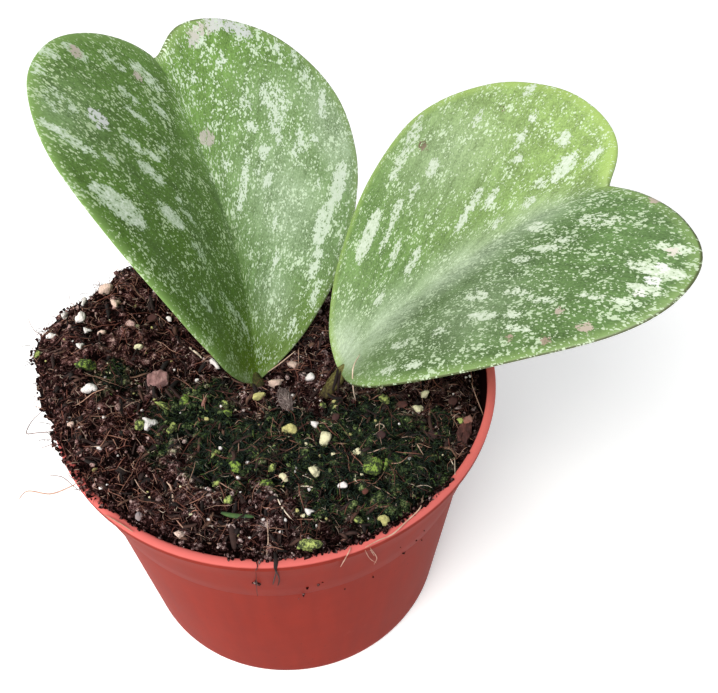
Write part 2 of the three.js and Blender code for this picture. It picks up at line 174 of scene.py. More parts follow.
RIGHT_SPLASHES = [
    (-29.5, 69.5, 3.5, 2.2, 0.9), (-22.5, 67, 3, 1.8, 0.9), (-29, 56.5, 5, 1.4, 0.7),
    (-36.5, 41.5, 10, 1.8, 0.8), (-31, 34.5, 9, 2.2, 0.8), (-25, 41.5, 5, 3, 1),
    (-19, 62, 6, 1.8, 0.8), (-14, 70, 4, 2.6, 0.9), (-8, 67, 9, 3, 1), (-7.5, 73, 6, 1.5, 0.8),
    (-15, 60, 3, 2.2, 0.8), (-7, 61, 3, 2, 0.7), (-23, 35, 4, 2.2, 0.7), (-21, 20, 13, 4, 1),
    (-21.5, 29, 6, 2.2, 0.8), (-11.5, 47, 6, 2, 0.9), (-9.5, 50, 6, 1.8, 0.9),
    (-9.5, 43, 9, 1.7, 1), (-3.5, 49, 4, 1.5, 0.8), (-4, 57, 4, 1.4, 0.8), (-17.5, 24, 8, 1.3, 0.8),
    (-12.5, 24, 7, 1.6, 0.9), (-7.5, 27, 8, 1.9, 0.9), (3, 56, 4, 2.6, 0.8), (10, 56, 7, 2, 0.9),
    (10, 60, 4, 1.4, 0.8), (9.5, 50, 5, 1.8, 0.7), (-5.5, 16, 4, 1.6, 0.8), (20, 39, 8, 2.4, 1),
    (24, 45, 4, 2.2, 0.8), (23, 51, 6, 1.6, 0.8), (28, 45, 6, 1.7, 0.9), (13.5, 39, 6, 2.2, 0.7),
    (18, 47, 6, 1.9, 0.7), (27.5, 60.5, 7, 1.2, 0.7), (12.5, 19, 6, 2.2, 0.7),
    (22.5, 22, 6, 1.9, 0.8), (18.5, 16, 5, 2.2, 0.7), (17, 29, 4, 1.9, 0.7), (26, 73, 8, 3, 1),
    (21.5, 77, 6, 2.2, 0.9), (29, 69, 6, 2.6, 1), (24, 71, 7, 2, 0.8), (30.5, 65, 5, 2, 0.8),
    (8.5, 68, 8, 3, 0.6), (-33.5, 40, 9.1, 1.4, 0.75),
]

# Healed scars and crusts on each leaf: across, along, radius, and how brown (0 is white). The white ones are
# painted highlights: a spot on the left leaf's near half, and arcs along each leaf's far lobe, where they
# paint a highlight over pale crust
LEFT_SCARS_AND_HIGHLIGHTS = [
    (2.5, 56, 1.9, 0.22), (10, 76, 1.1, 0.12), (11.5, 77.5, 1.2, 0.18), (14, 78.5, 1.2, 0.2),
    (16.5, 79, 1.7, 0.05), (19.5, 78.5, 1.6, 0), (21.5, 77.5, 1.6, 0), (23.5, 76, 1.5, 0),
    (-24, 64.5, 1.8, 0), (-24.5, 66, 1.3, 0), (-19, 78, 1.3, 0.35), (-7.5, 71.5, 1.1, 0.3),
]
RIGHT_SCARS_AND_HIGHLIGHTS = [
    (-32, 42, 1, 0.9), (-30.5, 42, 0.8, 0.75), (33.5, 56.5, 1.2, 0.4), (28, 53.5, 1, 0.4),
    (29.5, 43, 0.8, 0.5), (33.5, 49, 1, 0.6), (22, 76.5, 1, 0.2), (25, 73.5, 1.2, 0.02),
    (27.5, 71, 1.3, 0), (29.5, 68, 1, 0.05), (8, 78.5, 0.9, 0.4), (-28, 62.5, 0.35, 1),
]

# Painted sheen: where a whitish reflection is painted onto each leaf's colour: across, along, half width,
# half length and strength
LEFT_PAINTED_SHEEN = [
    (17, 36, 13, 18, 0.5), (8, 18, 6, 10, 0.4), (34, 48, 8, 15, 0.55), (24, 60, 12, 8, 0.25),
    (-31, 68, 8, 8, 0.14),
]
RIGHT_PAINTED_SHEEN = [
    (-1, 4, 8, 7, 0.85), (1, 16, 6, 13, 0.65), (1, 36, 5, 16, 0.6), (0, 56, 4, 9, 0.4),
    (16, 36, 12, 14, 0.2), (-26, 46, 12, 14, 0.3), (12, 22, 10, 10, 0.14),
]

# How far the crease between a leaf's halves wanders from its midrib, at lengths along it
LEFT_CREASE = [(0, 0), (33, 1.7), (50, -1.2), (61, -2.5), (74, 0)]
RIGHT_CREASE = [(0, 0), (26, 1.4), (37, 1.4), (48, 0), (58, -1), (72, 0)]

# The veins leave the midrib at a small angle and turn to a wide one over a few millimetres
VEIN_START = 12
VEIN_END = 36
VEIN_TURN = 5

# Grains that show on the soil: place, half width, half length and finish
WHITE, CREAM, YELLOW, LIME, GREEN, PEACH = 0, 0.2, 0.4, 0.6, 0.8, 1
GRAINS = [
    (-40, 18, 1.2, 1.2, PEACH), (-44, 23.5, 1.4, 1.2, PEACH), (-48.5, 21, 0.6, 1.2, WHITE),
    (-52, 15, 0.6, 1, WHITE), (-47, 12, 1, 1.2, WHITE), (-45, 8.5, 0.8, 0.8, WHITE),
    (-42, 8.5, 0.8, 0.6, PEACH), (-27.5, 17, 0.8, 0.6, WHITE), (-34, 12, 0.8, 0.6, CREAM),
    (-53.5, 7.5, 0.8, 0.6, WHITE), (-45.5, 3.5, 0.8, 0.8, WHITE), (-33, 5.5, 0.8, 0.6, CREAM),
    (-55.5, 3, 0.8, 0.8, LIME), (-42.5, -2, 2, 1.4, GREEN), (-41, -8.5, 1.4, 0.8, WHITE),
    (-27, -16.5, 1.4, 1.6, WHITE), (-29, -17.5, 1, 1.2, LIME), (-21.5, -17, 0.8, 1.2, LIME),
    (-24.5, -11, 1.4, 0.8, LIME), (-20, -9.5, 1, 1, GREEN), (-18, -6.5, 0.8, 0.8, LIME),
    (-43.5, -18.5, 0.6, 0.8, PEACH), (-15, 2.5, 0.8, 1.6, WHITE), (4, 4, 1.2, 1.2, PEACH),
    (8, -0.5, 0.8, 0.8, WHITE), (0, -2, 2, 1, PEACH), (-4, -7, 1.2, 0.8, YELLOW),
    (-11, -9, 1, 0.8, LIME), (-10, -12, 0.8, 1, GREEN), (4, -15.5, 1.4, 1, YELLOW),
    (9.5, -14, 1, 0.8, WHITE), (11.5, -17.5, 1, 1.8, CREAM), (11, -9, 0.8, 0.6, LIME),
    (25.5, -7, 1.2, 1.2, LIME), (19, -21, 0.8, 0.8, CREAM), (-12, -23, 0.8, 1.4, LIME),
    (0.5, -27, 0.8, 0.8, LIME), (3, -28, 1, 1, CREAM), (10, -27.5, 1.2, 1.2, CREAM),
    (22.5, -26.5, 1.8, 2, GREEN), (25.5, -25, 0.8, 1.6, GREEN), (-11, -31, 0.8, 0.6, LIME),
    (-7, -26.5, 1.6, 1, GREEN), (0, -30.5, 1.2, 1, GREEN), (16, -31, 0.8, 0.6, WHITE),
    (9, -37, 1, 0.8, WHITE), (9, -46.5, 2, 1.2, LIME), (24.5, -39, 1.4, 1, YELLOW),
    (19.5, -39, 0.8, 1.2, LIME), (-7.5, -36, 0.8, 0.8, LIME), (33, -8, 1.6, 1.2, CREAM),
    (34.5, -4, 0.8, 0.8, CREAM), (42.5, -11.5, 0.8, 0.8, LIME), (-16.5, -44, 0.8, 0.8, PEACH),
]
LARGE_GRAIN = 0.55
# Grains spread by a seed
SMALL_GRAINS = 150
SMALL_GRAIN_RADIUS = (0.2, 0.5)

# Strands that show: width, tint and route. A point without a height lies on the soil.
ROOTS = [
    (0.16, 0.45, [(-61.5, 15.5, 76.5), (-59, 11.5, 76.5), (-55, 8.5, 76.5), (-52, 6.5, 76.5)]),
    (0.2, 0.35, [(-50.5, -12, 76.5), (-53.5, -14.5, 75), (-54, -18, 75), (-52, -18, 75),
        (-47, -18.5, 76.5), (-44.5, -18)]),
    (0.3, 0.8, [(-51.5, -35, 75), (-50, -33, 75), (-45, -34, 75.5), (-41, -33, 76.5),
        (-39, -31.5, 76.5)]),
    (0.18, 0.4, [(-46, -30, 76.5), (-43, -30.5, 76.5), (-40.5, -32.5, 76.5), (-38.5, -34, 76.5)]),
    (0.2, 0.75, [(-44, -20.5), (-43, -22.5, 76.5), (-41.5, -26.5, 76.5)]),
    (0.22, 0.85, [(-42, -24), (-36.5, -23.5), (-31.5, -23.5)]),
    (0.2, 0.85, [(-28.5, -29.5), (-26.5, -32.5), (-24.5, -34.5)]),
    (0.16, 0.65, [(-28, -38), (-29.5, -35.5), (-32.5, -34), (-32, -32), (-28, -32.5),
        (-26, -34.5)]),
    (0.45, 0.85, [(-22.5, -29.5), (-20.5, -31.5), (-19.5, -34.5), (-18.5, -38)]),
    (0.25, 0.8, [(-18, -40), (-16, -42.5)]),
    (0.3, 0.7, [(-32.5, -39.5, 76.5), (-29, -41.5, 76.5), (-26, -43.5, 76.5)]),
    (0.35, 1.1, [(2, -33), (2.5, -35), (3.5, -37), (5.5, -39)]),
    (0.45, 1.15, [(5.5, -31), (7.5, -30.5), (9.5, -31)]),
    (0.22, 0.85, [(0.5, -39.5), (1, -44), (1, -47), (1, -49.5, 76.5)]),
    (0.2, 0.95, [(6.5, -27), (8, -28), (9.5, -29)]),
    (0.2, 0.85, [(19.5, -22), (22, -21.5), (25, -20.5)]),
    (0.3, 0.8, [(33, -32), (32, -37.5, 76.5), (31, -39, 76.5), (29, -41, 76.5),
        (26, -44, 76.5), (23, -45.5, 76.5), (20.5, -47, 76.5)]),
    (0.16, 0.8, [(21, -46.5, 76.5), (22.5, -44, 67.5)]),
    (0.18, 0.8, [(21.5, -46.5, 75.5), (23, -43.5, 66), (22.5, -43.5, 63)]),
    (0.16, 0.75, [(20.5, -47, 75.5), (21.5, -44.5, 67.5), (23, -43.5, 63.5)]),
    (0.22, 0.8, [(18, -43.5), (17.5, -47.5, 76.5), (16.5, -48.5, 74.5), (15.5, -47, 68.5)]),
    (0.2, 0.95, [(31.5, -30), (33.5, -29.5), (35, -30)]),
    (0.55, 1.05, [(-22.5, 9), (-20.5, 6.5), (-19, 5.5), (-18, 4)]),
    (0.2, 0.6, [(-3.5, -18), (-0.5, -17.5), (3, -18), (6.5, -19.5)]),
    (0.16, 0.9, [(5.5, -19), (7, -17.5), (8, -17), (9, -17.5), (10, -18.5)]),
    (0.3, 0.95, [(23, -13.5), (24, -13), (25, -13.5), (24, -15), (22.5, -17.5)]),
    (0.2, 0.7, [(19.5, -5), (22, -5), (24, -4.5), (28.5, -2.5)]),
    (0.16, 0.8, [(45.5, -2, 73), (46.5, -7, 73), (47.5, -11.5, 73)]),
    (0.22, 0.85, [(32, -18), (32.5, -19.5), (33.5, -21.5)]),
    (0.22, 0.95, [(39, -21.5), (40, -24)]),
    (0.22, 0.95, [(40.5, -21.5), (40, -26, 73.5), (39.5, -30, 76.5)]),
    (0.22, 0.75, [(24, -24.5), (28, -24.5), (31, -21)]),
    (0.22, 0.7, [(-51.5, 14.5, 77.5), (-54, 12.5, 77), (-55.5, 9.5, 77)]),
    (0.2, 0.5, [(-33, 16.5), (-34, 13), (-36, 9.5), (-37.5, 6.5)]),
    (0.2, 0.45, [(-40, 10), (-39, 12.5), (-36.5, 15), (-32.5, 18)]),
    (0.3, 0.85, [(-2, -1, 75.5), (1, 1, 76.5), (4.5, 3, 78.5)]),
    (0.35, 0.95, [(19.5, -1.5, 82.5), (18, -6.5, 83.5), (18, -8.5, 79), (18.5, -8, 74)]),
]
# The first shred, over the front lip, is drawn wide enough to cover the root's shadow on the lip too, so it
# is partly painted shadow
DARK_SHREDS = [
    (0.9, 0.12, [(2.5, -47), (3, -49.5, 76.5), (3, -51, 75.5), (3, -51, 73.5)]),
    (0.35, 0.2, [(3, -51, 75), (3, -49, 67), (2.5, -49, 64)]),
    (0.3, 0.25, [(3, -51, 74), (1.5, -49, 64.5)]),
    (0.25, 0.15, [(-1.5, -48), (-0.5, -51, 76.5), (-1, -51, 74.5)]),
    (0.2, 0.3, [(-1, -51, 74), (-2, -49, 62), (-2, -49, 59)]),
    (1.5, 0.42, [(-6.5, -41.5), (-6, -44), (-5.5, -46.5)]),
    (0.8, 0.3, [(-40, -22), (-36.5, -23), (-33, -21.5)]),
    (0.8, 0.1, [(14.5, -2, 78), (14, -3.5, 76), (13, -5, 73)]),
    (0.6, 0.3, [(15, -2, 77), (14.5, -4, 74.5), (14.5, -5, 72.5)]),
    (0.9, 0.05, [(12, -6.5, 74.5), (13.5, -7, 73.5), (15.5, -6.5, 73)]),
]
MOSS_LUMPS = [(1.2, 0.72, [(-9, -38.2), (-6.2, -39.3), (-2.1, -39.4)])]

# Bark flakes that show: place, half width, half length, turn in degrees and tint
FLAKES = [
    (24, -17, 1.5, 1.2, 10, 0.1), (35.5, -15.5, 1.6, 1.9, -30, 0.1), (-25.5, -40, 1, 1.1, 30, 0.95),
    (20.5, -32, 0.9, 0.8, 0, 0.4), (-16, -9, 0.55, 1.6, -10, 0.7), (41, -6, 1.6, 1.2, 30, 0.3),
    (29, -8.5, 1.6, 1.1, -15, 0.35), (-31.5, 16, 1.7, 1.2, 20, 0.3), (14, -12.5, 1.4, 0.9, 50, 0.2),
    (44, -11.5, 1.5, 1.8, 0, 0.68),
]

# Crumbs at the edge of the soil: from and to which angle, how many, and how far past the edge
SPILLED = [
    (116, 204, 160, -1.8, 0), (200, 240, 260, -1, 1.2), (240, 262, 50, -0.6, 0.8),
    (262, 322, 560, -0.6, 1.3), (322, 335, 15, -0.6, 0.6),
]
# Dirt that clings to the wall: angle, height and radius
DIRT = [
    (-92.3, 65.1, 0.5), (-91.5, 64.2, 0.4), (-93, 64.6, 0.35), (-92.2, 66.3, 0.3), (-80, 58.7, 0.35),
    (-77, 59.5, 0.3), (-81, 54.3, 0.4), (-60.7, 50.4, 0.3), (-51.2, 54.8, 0.35), (-50, 53.4, 0.25),
    (-82.5, 50.8, 0.2), (-69.3, 50.4, 0.2), (-42.6, 51.1, 0.25), (-76, 60.3, 0.2), (-47, 57, 0.2),
    (-45, 60, 0.2), (-54, 62, 0.2),
]

# Where algae cover the soil: place, radius and strength
ALGAE = [
    (-17, -12, 9, 0.9), (-8, -22, 11, 1), (3, -16, 9, 0.9), (12, -24, 12, 1), (22, -15, 11, 1),
    (31, -24, 11, 1), (24, -34, 10, 0.9), (12, -36, 7, 0.7), (37, -14, 7, 0.6), (-24, -15, 6, 0.8),
    (-36, -4, 7, 0.6), (-24, -24, 5, 0.5), (20, -5, 8, 0.5), (-14, -6, 6, 0.7), (8, -27, 8, 0.9),
]
# How many threads they have, and the share of the fibres that they bury
ALGAE_THREADS = 6500
BURIED_BY_ALGAE = 0.75

# The litter, as in the CAD model, but for the left chip, which lies 1 mm nearer
BARK_LEFT = {"at": (-26.8, -4), "size": (5.2, 4.6, 2.6), "turn": 25, "lift": 0.3}
BARK_RIGHT = {"at": (43.2, -14.6), "size": (3.4, 7.6, 2.4), "turn": -18, "lift": 0.3}
HUSK = {"at": (2.2, -6.6), "size": (3.2, 6.8, 0.8), "turn": 20, "lift": 0.2, "arch": 0.9}
CHIP_CORNERS = [(1, 0.1), (0.62, 0.8), (-0.2, 1), (-0.9, 0.55), (-1, -0.3), (-0.35, -1), (0.7, -0.8)]

# The camera, fitted to the photograph: its place in metres, its tilt from straight down in
# degrees, and its lens for a 36 mm sensor
CAMERA_PLACE = (0.0193, -0.13548, 0.23603)
CAMERA_TILT = 41.6
CAMERA_LENS = 45.13


# Numbers and small curves

def random_stream(seed):
    """The same repeatable numbers from 0 to 1 as in the CAD source."""
    state = seed
    while True:
        state = (state * 1664525 + 1013904223) % 4294967296
        yield state / 4294967296


def between(limits, share):
    """The number that lies at a share of the way between two limits."""
    return limits[0] + (limits[1] - limits[0]) * share


def smoothstep(value, start, end):
    """A soft step from 0 at the start to 1 at the end."""
    share = np.clip((value - start) / (end - start), 0, 1)
    return share * share * (3 - 2 * share)


def unit(vectors):
    """The same directions, each of length 1."""
    length = np.linalg.norm(vectors, axis=-1, keepdims=True)
    return vectors / np.maximum(length, 1e-9)


def bezier(a, b, c, d, steps):
    """Points of a cubic curve from a to d."""
    t = np.linspace(0, 1, steps + 1)[:, None]
    a, b, c, d = (np.array(p, float) for p in (a, b, c, d))
    return (1 - t) ** 3 * a + 3 * (1 - t) ** 2 * t * b + 3 * (1 - t) * t * t * c + t**3 * d


def through(points, steps):
    """A smooth path of evenly shared points through a few given ones."""
    p = np.array(points, float)
    p = np.vstack([2 * p[0] - p[1], p, 2 * p[-1] - p[-2]])
    path = []
    for i in range(1, len(p) - 2):
        t = np.linspace(0, 1, steps, endpoint=False)[:, None]
        a, b, c, d = p[i - 1], p[i], p[i + 1], p[i + 2]
        slope = (c - a) * t + (2 * a - 5 * b + 4 * c - d) * t**2 + (3 * b - a - 3 * c + d) * t**3
        path.append(b + 0.5 * slope)
    return np.vstack([*path, p[-2:-1]])


def ripple(x, y, wave, seed):
    """Smooth unevenness between about -1 and 1, from a few crossing waves."""
    random = np.random.default_rng(seed)
    total = np.zeros(np.broadcast(x, y).shape)
    for _ in range(6):
        direction = random.uniform(0, 2 * math.pi)
        pitch = 2 * math.pi / (wave * random.uniform(0.6, 1.5))
        along = x * math.cos(direction) + y * math.sin(direction)
        total += np.sin(along * pitch + random.uniform(0, 2 * math.pi))
    return total / 3


# Meshes

def quads_of(rows, columns):
    """Corner numbers of the quads of a grid of points, row by row."""
    row, column = np.meshgrid(np.arange(rows - 1), np.arange(columns - 1), indexing="ij")
    first = (row * columns + column).ravel()
    return np.stack([first, first + 1, first + columns + 1, first + columns], axis=1)


def ring_quads(rings, sides):
    """Corner numbers of the quads between closed rings of points."""
    ring, side = np.meshgrid(np.arange(rings - 1), np.arange(sides), indexing="ij")
    ring, side = ring.ravel(), side.ravel()
    after = (side + 1) % sides
    corners = [ring * sides + side, ring * sides + after]
    corners += [(ring + 1) * sides + after, (ring + 1) * sides + side]
    return np.stack(corners, axis=1)


def make_piece(name, points, faces, material, slot, marks=None, sharp=None):
    """A mesh object that rides the part. faces is a list of arrays of corner numbers, and marks
    are numbers or vectors for each point, by name, that the material reads."""
    mesh = bpy.data.meshes.new(name)
    mesh.vertices.add(len(points))
    mesh.vertices.foreach_set("co", (np.asarray(points) * MM).astype(np.float32).ravel())
    corners = np.concatenate([face.ravel() for face in faces])
    sizes = np.concatenate([np.full(len(face), face.shape[1]) for face in faces])
    starts = np.concatenate([[0], np.cumsum(sizes)[:-1]])
    mesh.loops.add(len(corners))
    mesh.loops.foreach_set("vertex_index", corners.astype(np.int32))
    mesh.polygons.add(len(sizes))
    mesh.polygons.foreach_set("loop_start", starts.astype(np.int32))
    mesh.update(calc_edges=True)
    mesh.validate()
    for mark, values in (marks or {}).items():
        values = np.asarray(values, np.float32)
        if values.ndim == 1:
            mesh.attributes.new(mark, "FLOAT", "POINT").data.foreach_set("value", values)
        else:
            store = mesh.attributes.new(mark, "FLOAT_VECTOR", "POINT")
            store.data.foreach_set("vector", values.ravel())
    mesh.shade_smooth()
    if sharp is not None:
        mesh.set_sharp_from_angle(angle=math.radians(sharp))
    mesh.materials.append(material)
    piece = bpy.data.objects.new(name, mesh)
    bpy.context.collection.objects.link(piece)
    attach(piece, "root")
    return piece


def closed_rings(rings, sides):
    """Faces of a wall of rings of points, with its first and last rings closed by discs."""
    under = np.arange(sides)[::-1][None]
    over = (np.arange(sides) + (rings - 1) * sides)[None]
    return [ring_quads(rings, sides), under, over]


def border_of(numbers):
    """The corner numbers round the edge of a grid of points, as one ring."""
    return np.concatenate([numbers[:-1, 0], numbers[-1, :-1], numbers[:0:-1, -1], numbers[0, :0:-1]])


def turned(profile, sides):
    """Points and faces of a wall of revolution, closed at both ends."""
    angles = np.arange(sides) * 2 * math.pi / sides
    radius, height = np.array(profile, float).T[:, :, None]
    points = np.stack([radius * np.cos(angles), radius * np.sin(angles), height + 0 * angles], -1)
    return points.reshape(-1, 3), closed_rings(len(profile), sides)


def tubes(paths, radii, sides, flat=1, lean=(0.31, 0.17, 0.94)):
    """Solid strands along many paths that have the same number of points. flat is the share of
    their width that they are thick, and lean is any direction that they don't run along."""
    count, steps, _ = paths.shape
    forward = unit(np.gradient(paths, axis=1))
    side = unit(np.cross(forward, np.array(lean)))
    up = np.cross(side, forward)
    angles = np.arange(sides) * 2 * math.pi / sides
    ring = side[:, :, None] * np.cos(angles)[:, None] + up[:, :, None] * (np.sin(angles) * flat)[:, None]
    points = paths[:, :, None] + ring * radii[:, :, None, None]
    first = np.arange(count) * steps * sides
    walls = (first[:, None, None] + ring_quads(steps, sides)[None]).reshape(-1, 4)
    starts = first[:, None] + np.arange(sides)[::-1]
    ends = first[:, None] + np.arange(sides) + (steps - 1) * sides
    return points.reshape(-1, 3), [walls, np.vstack([starts, ends])]


def tapered(widths, steps):
    """A radius along each strand: full in the middle, thin at both ends."""
    tip = 0.35
    travel = np.linspace(0, 1, steps)
    shape = tip + (1 - tip) * np.sin(travel * math.pi) ** 0.5
    return np.asarray(widths)[:, None] / 2 * shape


def wandering(x, y, heading, step):
    """The places of paths that start at x and y and take equal steps along changing headings."""
    return x + np.cumsum(np.cos(heading) * step, axis=1), y + np.cumsum(np.sin(heading) * step, axis=1)


def lump(seed, rounds, roughness, cuts=0):
    """Points and faces of a rough little ball of radius 1. Cuts break flat faces off it."""
    bumps, bump_reach, smallest, sharpness = 14, 0.55, 0.4, 9
    ball = bmesh.new()
    bmesh.ops.create_icosphere(ball, subdivisions=rounds, radius=1)
    points = np.array([v.co for v in ball.verts])
    faces = np.array([[v.index for v in face.verts] for face in ball.faces])
    ball.free()
    random = np.random.default_rng(seed)
    swell = np.ones(len(points))
    for _ in range(bumps):
        direction = unit(random.normal(size=3))
        bump = np.clip((points @ direction - bump_reach) / (1 - bump_reach), 0, 1)
        swell += bump * random.uniform(-1, 0.8) * roughness
    swell = np.maximum(swell + random.normal(0, roughness * 0.12, len(points)), smallest)
    for _ in range(cuts):
        direction = unit(random.normal(size=3))
        depth = random.uniform(0.5, 0.9)
        reach = np.maximum(points @ direction, 1e-3)
        swell = (swell**-sharpness + (reach / depth) ** sharpness) ** (-1 / sharpness)
    return points * swell[:, None], faces


def random_turns(count, random):
    """Rotation matrices that turn each copy its own way."""
    w, x, y, z = unit(random.normal(size=(count, 4))).T
    rows = [
        [1 - 2 * (y * y + z * z), 2 * (x * y - z * w), 2 * (x * z + y * w)],
        [2 * (x * y + z * w), 1 - 2 * (x * x + z * z), 2 * (y * z - x * w)],
        [2 * (x * z - y * w), 2 * (y * z + x * w), 1 - 2 * (x * x + y * y)],
    ]
    return np.moveaxis(np.array(rows), -1, 0)


def copies(template, places, sizes, turns):
    """Many turned and stretched copies of one small shape, as one set of points and faces."""
    points, faces = template
    moved = np.einsum("nij,nvj->nvi", turns, points[None] * sizes[:, None]) + places[:, None]
    numbers = faces[None] + (np.arange(len(places)) * len(points))[:, None, None]
    return moved.reshape(-1, 3), numbers.reshape(-1, faces.shape[1])


def joined(parts):
    """Several sets of points and face arrays as one."""
    points, faces, first = [], [], 0
    for some, sets in parts:
        points.append(some)
        faces += [face + first for face in sets]
        first += len(some)
    return np.vstack(points), faces


def scattered(name, templates, kind, places, sizes, turns, material, slot, marks):
    """One piece of many small lumps. Each has a kind, which is the number of its template, and
    its own place, sizes, turn and marks."""
    parts, values = [], {mark: [] for mark in marks}
    for number, template in enumerate(templates):
        some = kind == number
        points, faces = copies(template, places[some], sizes[some], turns[some])
        parts.append((points, [faces]))
        for mark in marks:
            values[mark].append(np.repeat(marks[mark][some], len(template[0])))
    points, faces = joined(parts)
    marks = {mark: np.concatenate(values[mark]) for mark in marks}
    make_piece(name, points, faces, material, slot, marks)


# Materials

def linear(hexcode):
    """An sRGB hex colour as the linear colour that shaders use."""
    values = [int(hexcode[i : i + 2], 16) / 255 for i in (1, 3, 5)]
    return [v / 12.92 if v <= 0.04045 else ((v + 0.055) / 1.055) ** 2.4 for v in values] + [1]


def add(tree, kind, inputs=(), stops=None, **settings):
    """Adds a shader node with its settings. Its inputs are given by name, or in the node's own
    order, and each is a value, or a node or socket to link. A range's inputs are its value, the
    two ends that it is read between, and the two ends that it is turned to."""
    node = tree.nodes.new("ShaderNode" + kind)
    for key, value in settings.items():
        setattr(node, key, value)
    given = inputs.items() if isinstance(inputs, dict) else enumerate(inputs)
    for key, value in given:
        if isinstance(value, bpy.types.Node):
            value = value.outputs[0]
        if isinstance(value, bpy.types.NodeSocket):
            tree.links.new(value, node.inputs[key])
        else:
            node.inputs[key].default_value = value
    if stops:
        ramp = node.color_ramp.elements
        while len(ramp) < len(stops):
            ramp.new(0.5)
        for element, (position, colour) in zip(ramp, stops):
            element.position = position
            element.color = linear(colour)
    return node


def material_tree(name):
    """A new material and its empty node tree."""
    material = bpy.data.materials.new(name)
    material.use_nodes = True
    material.node_tree.nodes.clear()
    return material, material.node_tree


def surface(tree, relief=None, strength=1, deep_mm=1, **inputs):
    """Ends a material with its shader, and with its relief if it has one. Underscores in the
    names of inputs stand for spaces."""
    named = {key.replace("_", " "): value for key, value in inputs.items()}
    if relief:
        bumps = {"Height": relief, "Strength": strength, "Distance": deep_mm * MM}
        named["Normal"] = add(tree, "Bump", bumps)
    shader = add(tree, "BsdfPrincipled", named)
    add(tree, "OutputMaterial", {"Surface": shader})


def per_metre(*sizes_mm):
    """The scales at which a pattern has features of these sizes."""
    return tuple(1 / size / MM for size in sizes_mm)


def moulded_polypropylene():
    """Terracotta-coloured polypropylene, injection moulded: matt, with soft broad highlights,
    faint flow marks, a painted highlight on the lip's top, dry splashes of potting water and
    painted near-black shade on the inside of the wall."""
    material, tree = material_tree("moulded terracotta polypropylene")
    place = add(tree, "TexCoord").outputs["Object"]
    height = add(tree, "SeparateXYZ", (place,)).outputs["Z"]
    flow_mm, fall_mm, cloud_mm, film_mm, dust_mm, grain_mm = 1.3, 22, 14, 6, 2.8, 0.35
    # Heights where the painted highlight on the lip's top starts and is full, and the same for the top of the
    # painted inner shade and its low end
    lip_highlight_starts, lip_highlight_full, top_starts, top_full, low_starts, low_full = 75.2, 75.6, 75, 74.4, 54, 60

    # Flow marks that run down the wall, among soft clouds
    flow = add(tree, "Mapping", {0: place, 3: per_metre(flow_mm, flow_mm, fall_mm)})
    streaks = add(tree, "TexNoise", {"Vector": flow, "Scale": 0.4, "Detail": 4})
    cloudy = {"Vector": place, "Scale": 1 / cloud_mm / MM, "Detail": 6, "Roughness": 0.6}
    clouds = add(tree, "TexNoise", cloudy)
    mottle = add(tree, "MixRGB", (0.5, streaks, clouds))
    body = add(tree, "ValToRGB", (mottle,), [(0.3, "#7a2218"), (0.5, "#82271b"), (0.7, "#8a2c20")])
    # Painted highlight: the lip's rounded top is painted paler, as where light falls on it
    lip_highlight = add(tree, "MapRange", (height, lip_highlight_starts * MM, lip_highlight_full * MM))

    # Specks of dust in patches, and a dried film
    grit = add(tree, "TexVoronoi", {"Vector": place, "Scale": 1 / dust_mm / MM})
    dot = add(tree, "MapRange", (grit, 0.06, 0.1, 1, 0))
    where = add(tree, "MapRange", (clouds, 0.52, 0.62))
    specks = add(tree, "Math", (dot, where), operation="MULTIPLY")
    filmy = {"Vector": place, "Scale": 1 / film_mm / MM, "Detail": 8, "Roughness": 0.7}
    film_and_shade = add(tree, "MapRange", (add(tree, "TexNoise", filmy), 0.62, 0.72, 0, 0.15))

    # Painted shade, near black, on the inside of the wall only, told by the distance from the pot's middle
    # line
    level = add(tree, "Mapping", {0: place, 3: (1, 1, 0)})
    radius = add(tree, "VectorMath", (level,), operation="LENGTH").outputs["Value"]
    straightened = add(tree, "Math", (height, -WALL_SLOPE, radius), operation="MULTIPLY_ADD")
    between_walls = (COLLAR_RADIUS + COLLAR_STEP - WALL / 2 - WALL_SLOPE * COLLAR_BOTTOM) * MM
    inside = add(tree, "MapRange", (straightened, between_walls + 0.2 * MM, between_walls))
    below = add(tree, "MapRange", (height, top_starts * MM, top_full * MM))
    above = add(tree, "MapRange", (height, low_starts * MM, low_full * MM))
    inner_wall_shade = add(tree, "Math", (inside, below), operation="MULTIPLY")
    stain_and_shade = add(tree, "Math", (inner_wall_shade, above), operation="MULTIPLY")

    # Over the body go the painted highlight on the lip, specks of dust, a dry film and the painted shade
    # inside
    colour = body
    for share, over in ((lip_highlight, "#cb6660"), (specks, "#54201b"), (film_and_shade, "#a2564a"), (stain_and_shade, "#160807")):
        colour = add(tree, "MixRGB", (share, colour, linear(over)))
    rough = add(tree, "MapRange", (mottle, 0, 1, 0.42, 0.58))
    grain = add(tree, "TexNoise", {"Vector": place, "Scale": 1 / grain_mm / MM, "Detail": 2})
    surface(tree, grain, 0.08, 0.1, Base_Color=colour, Roughness=rough, IOR=1.49, Specular_IOR_Level=0.02)
    return material


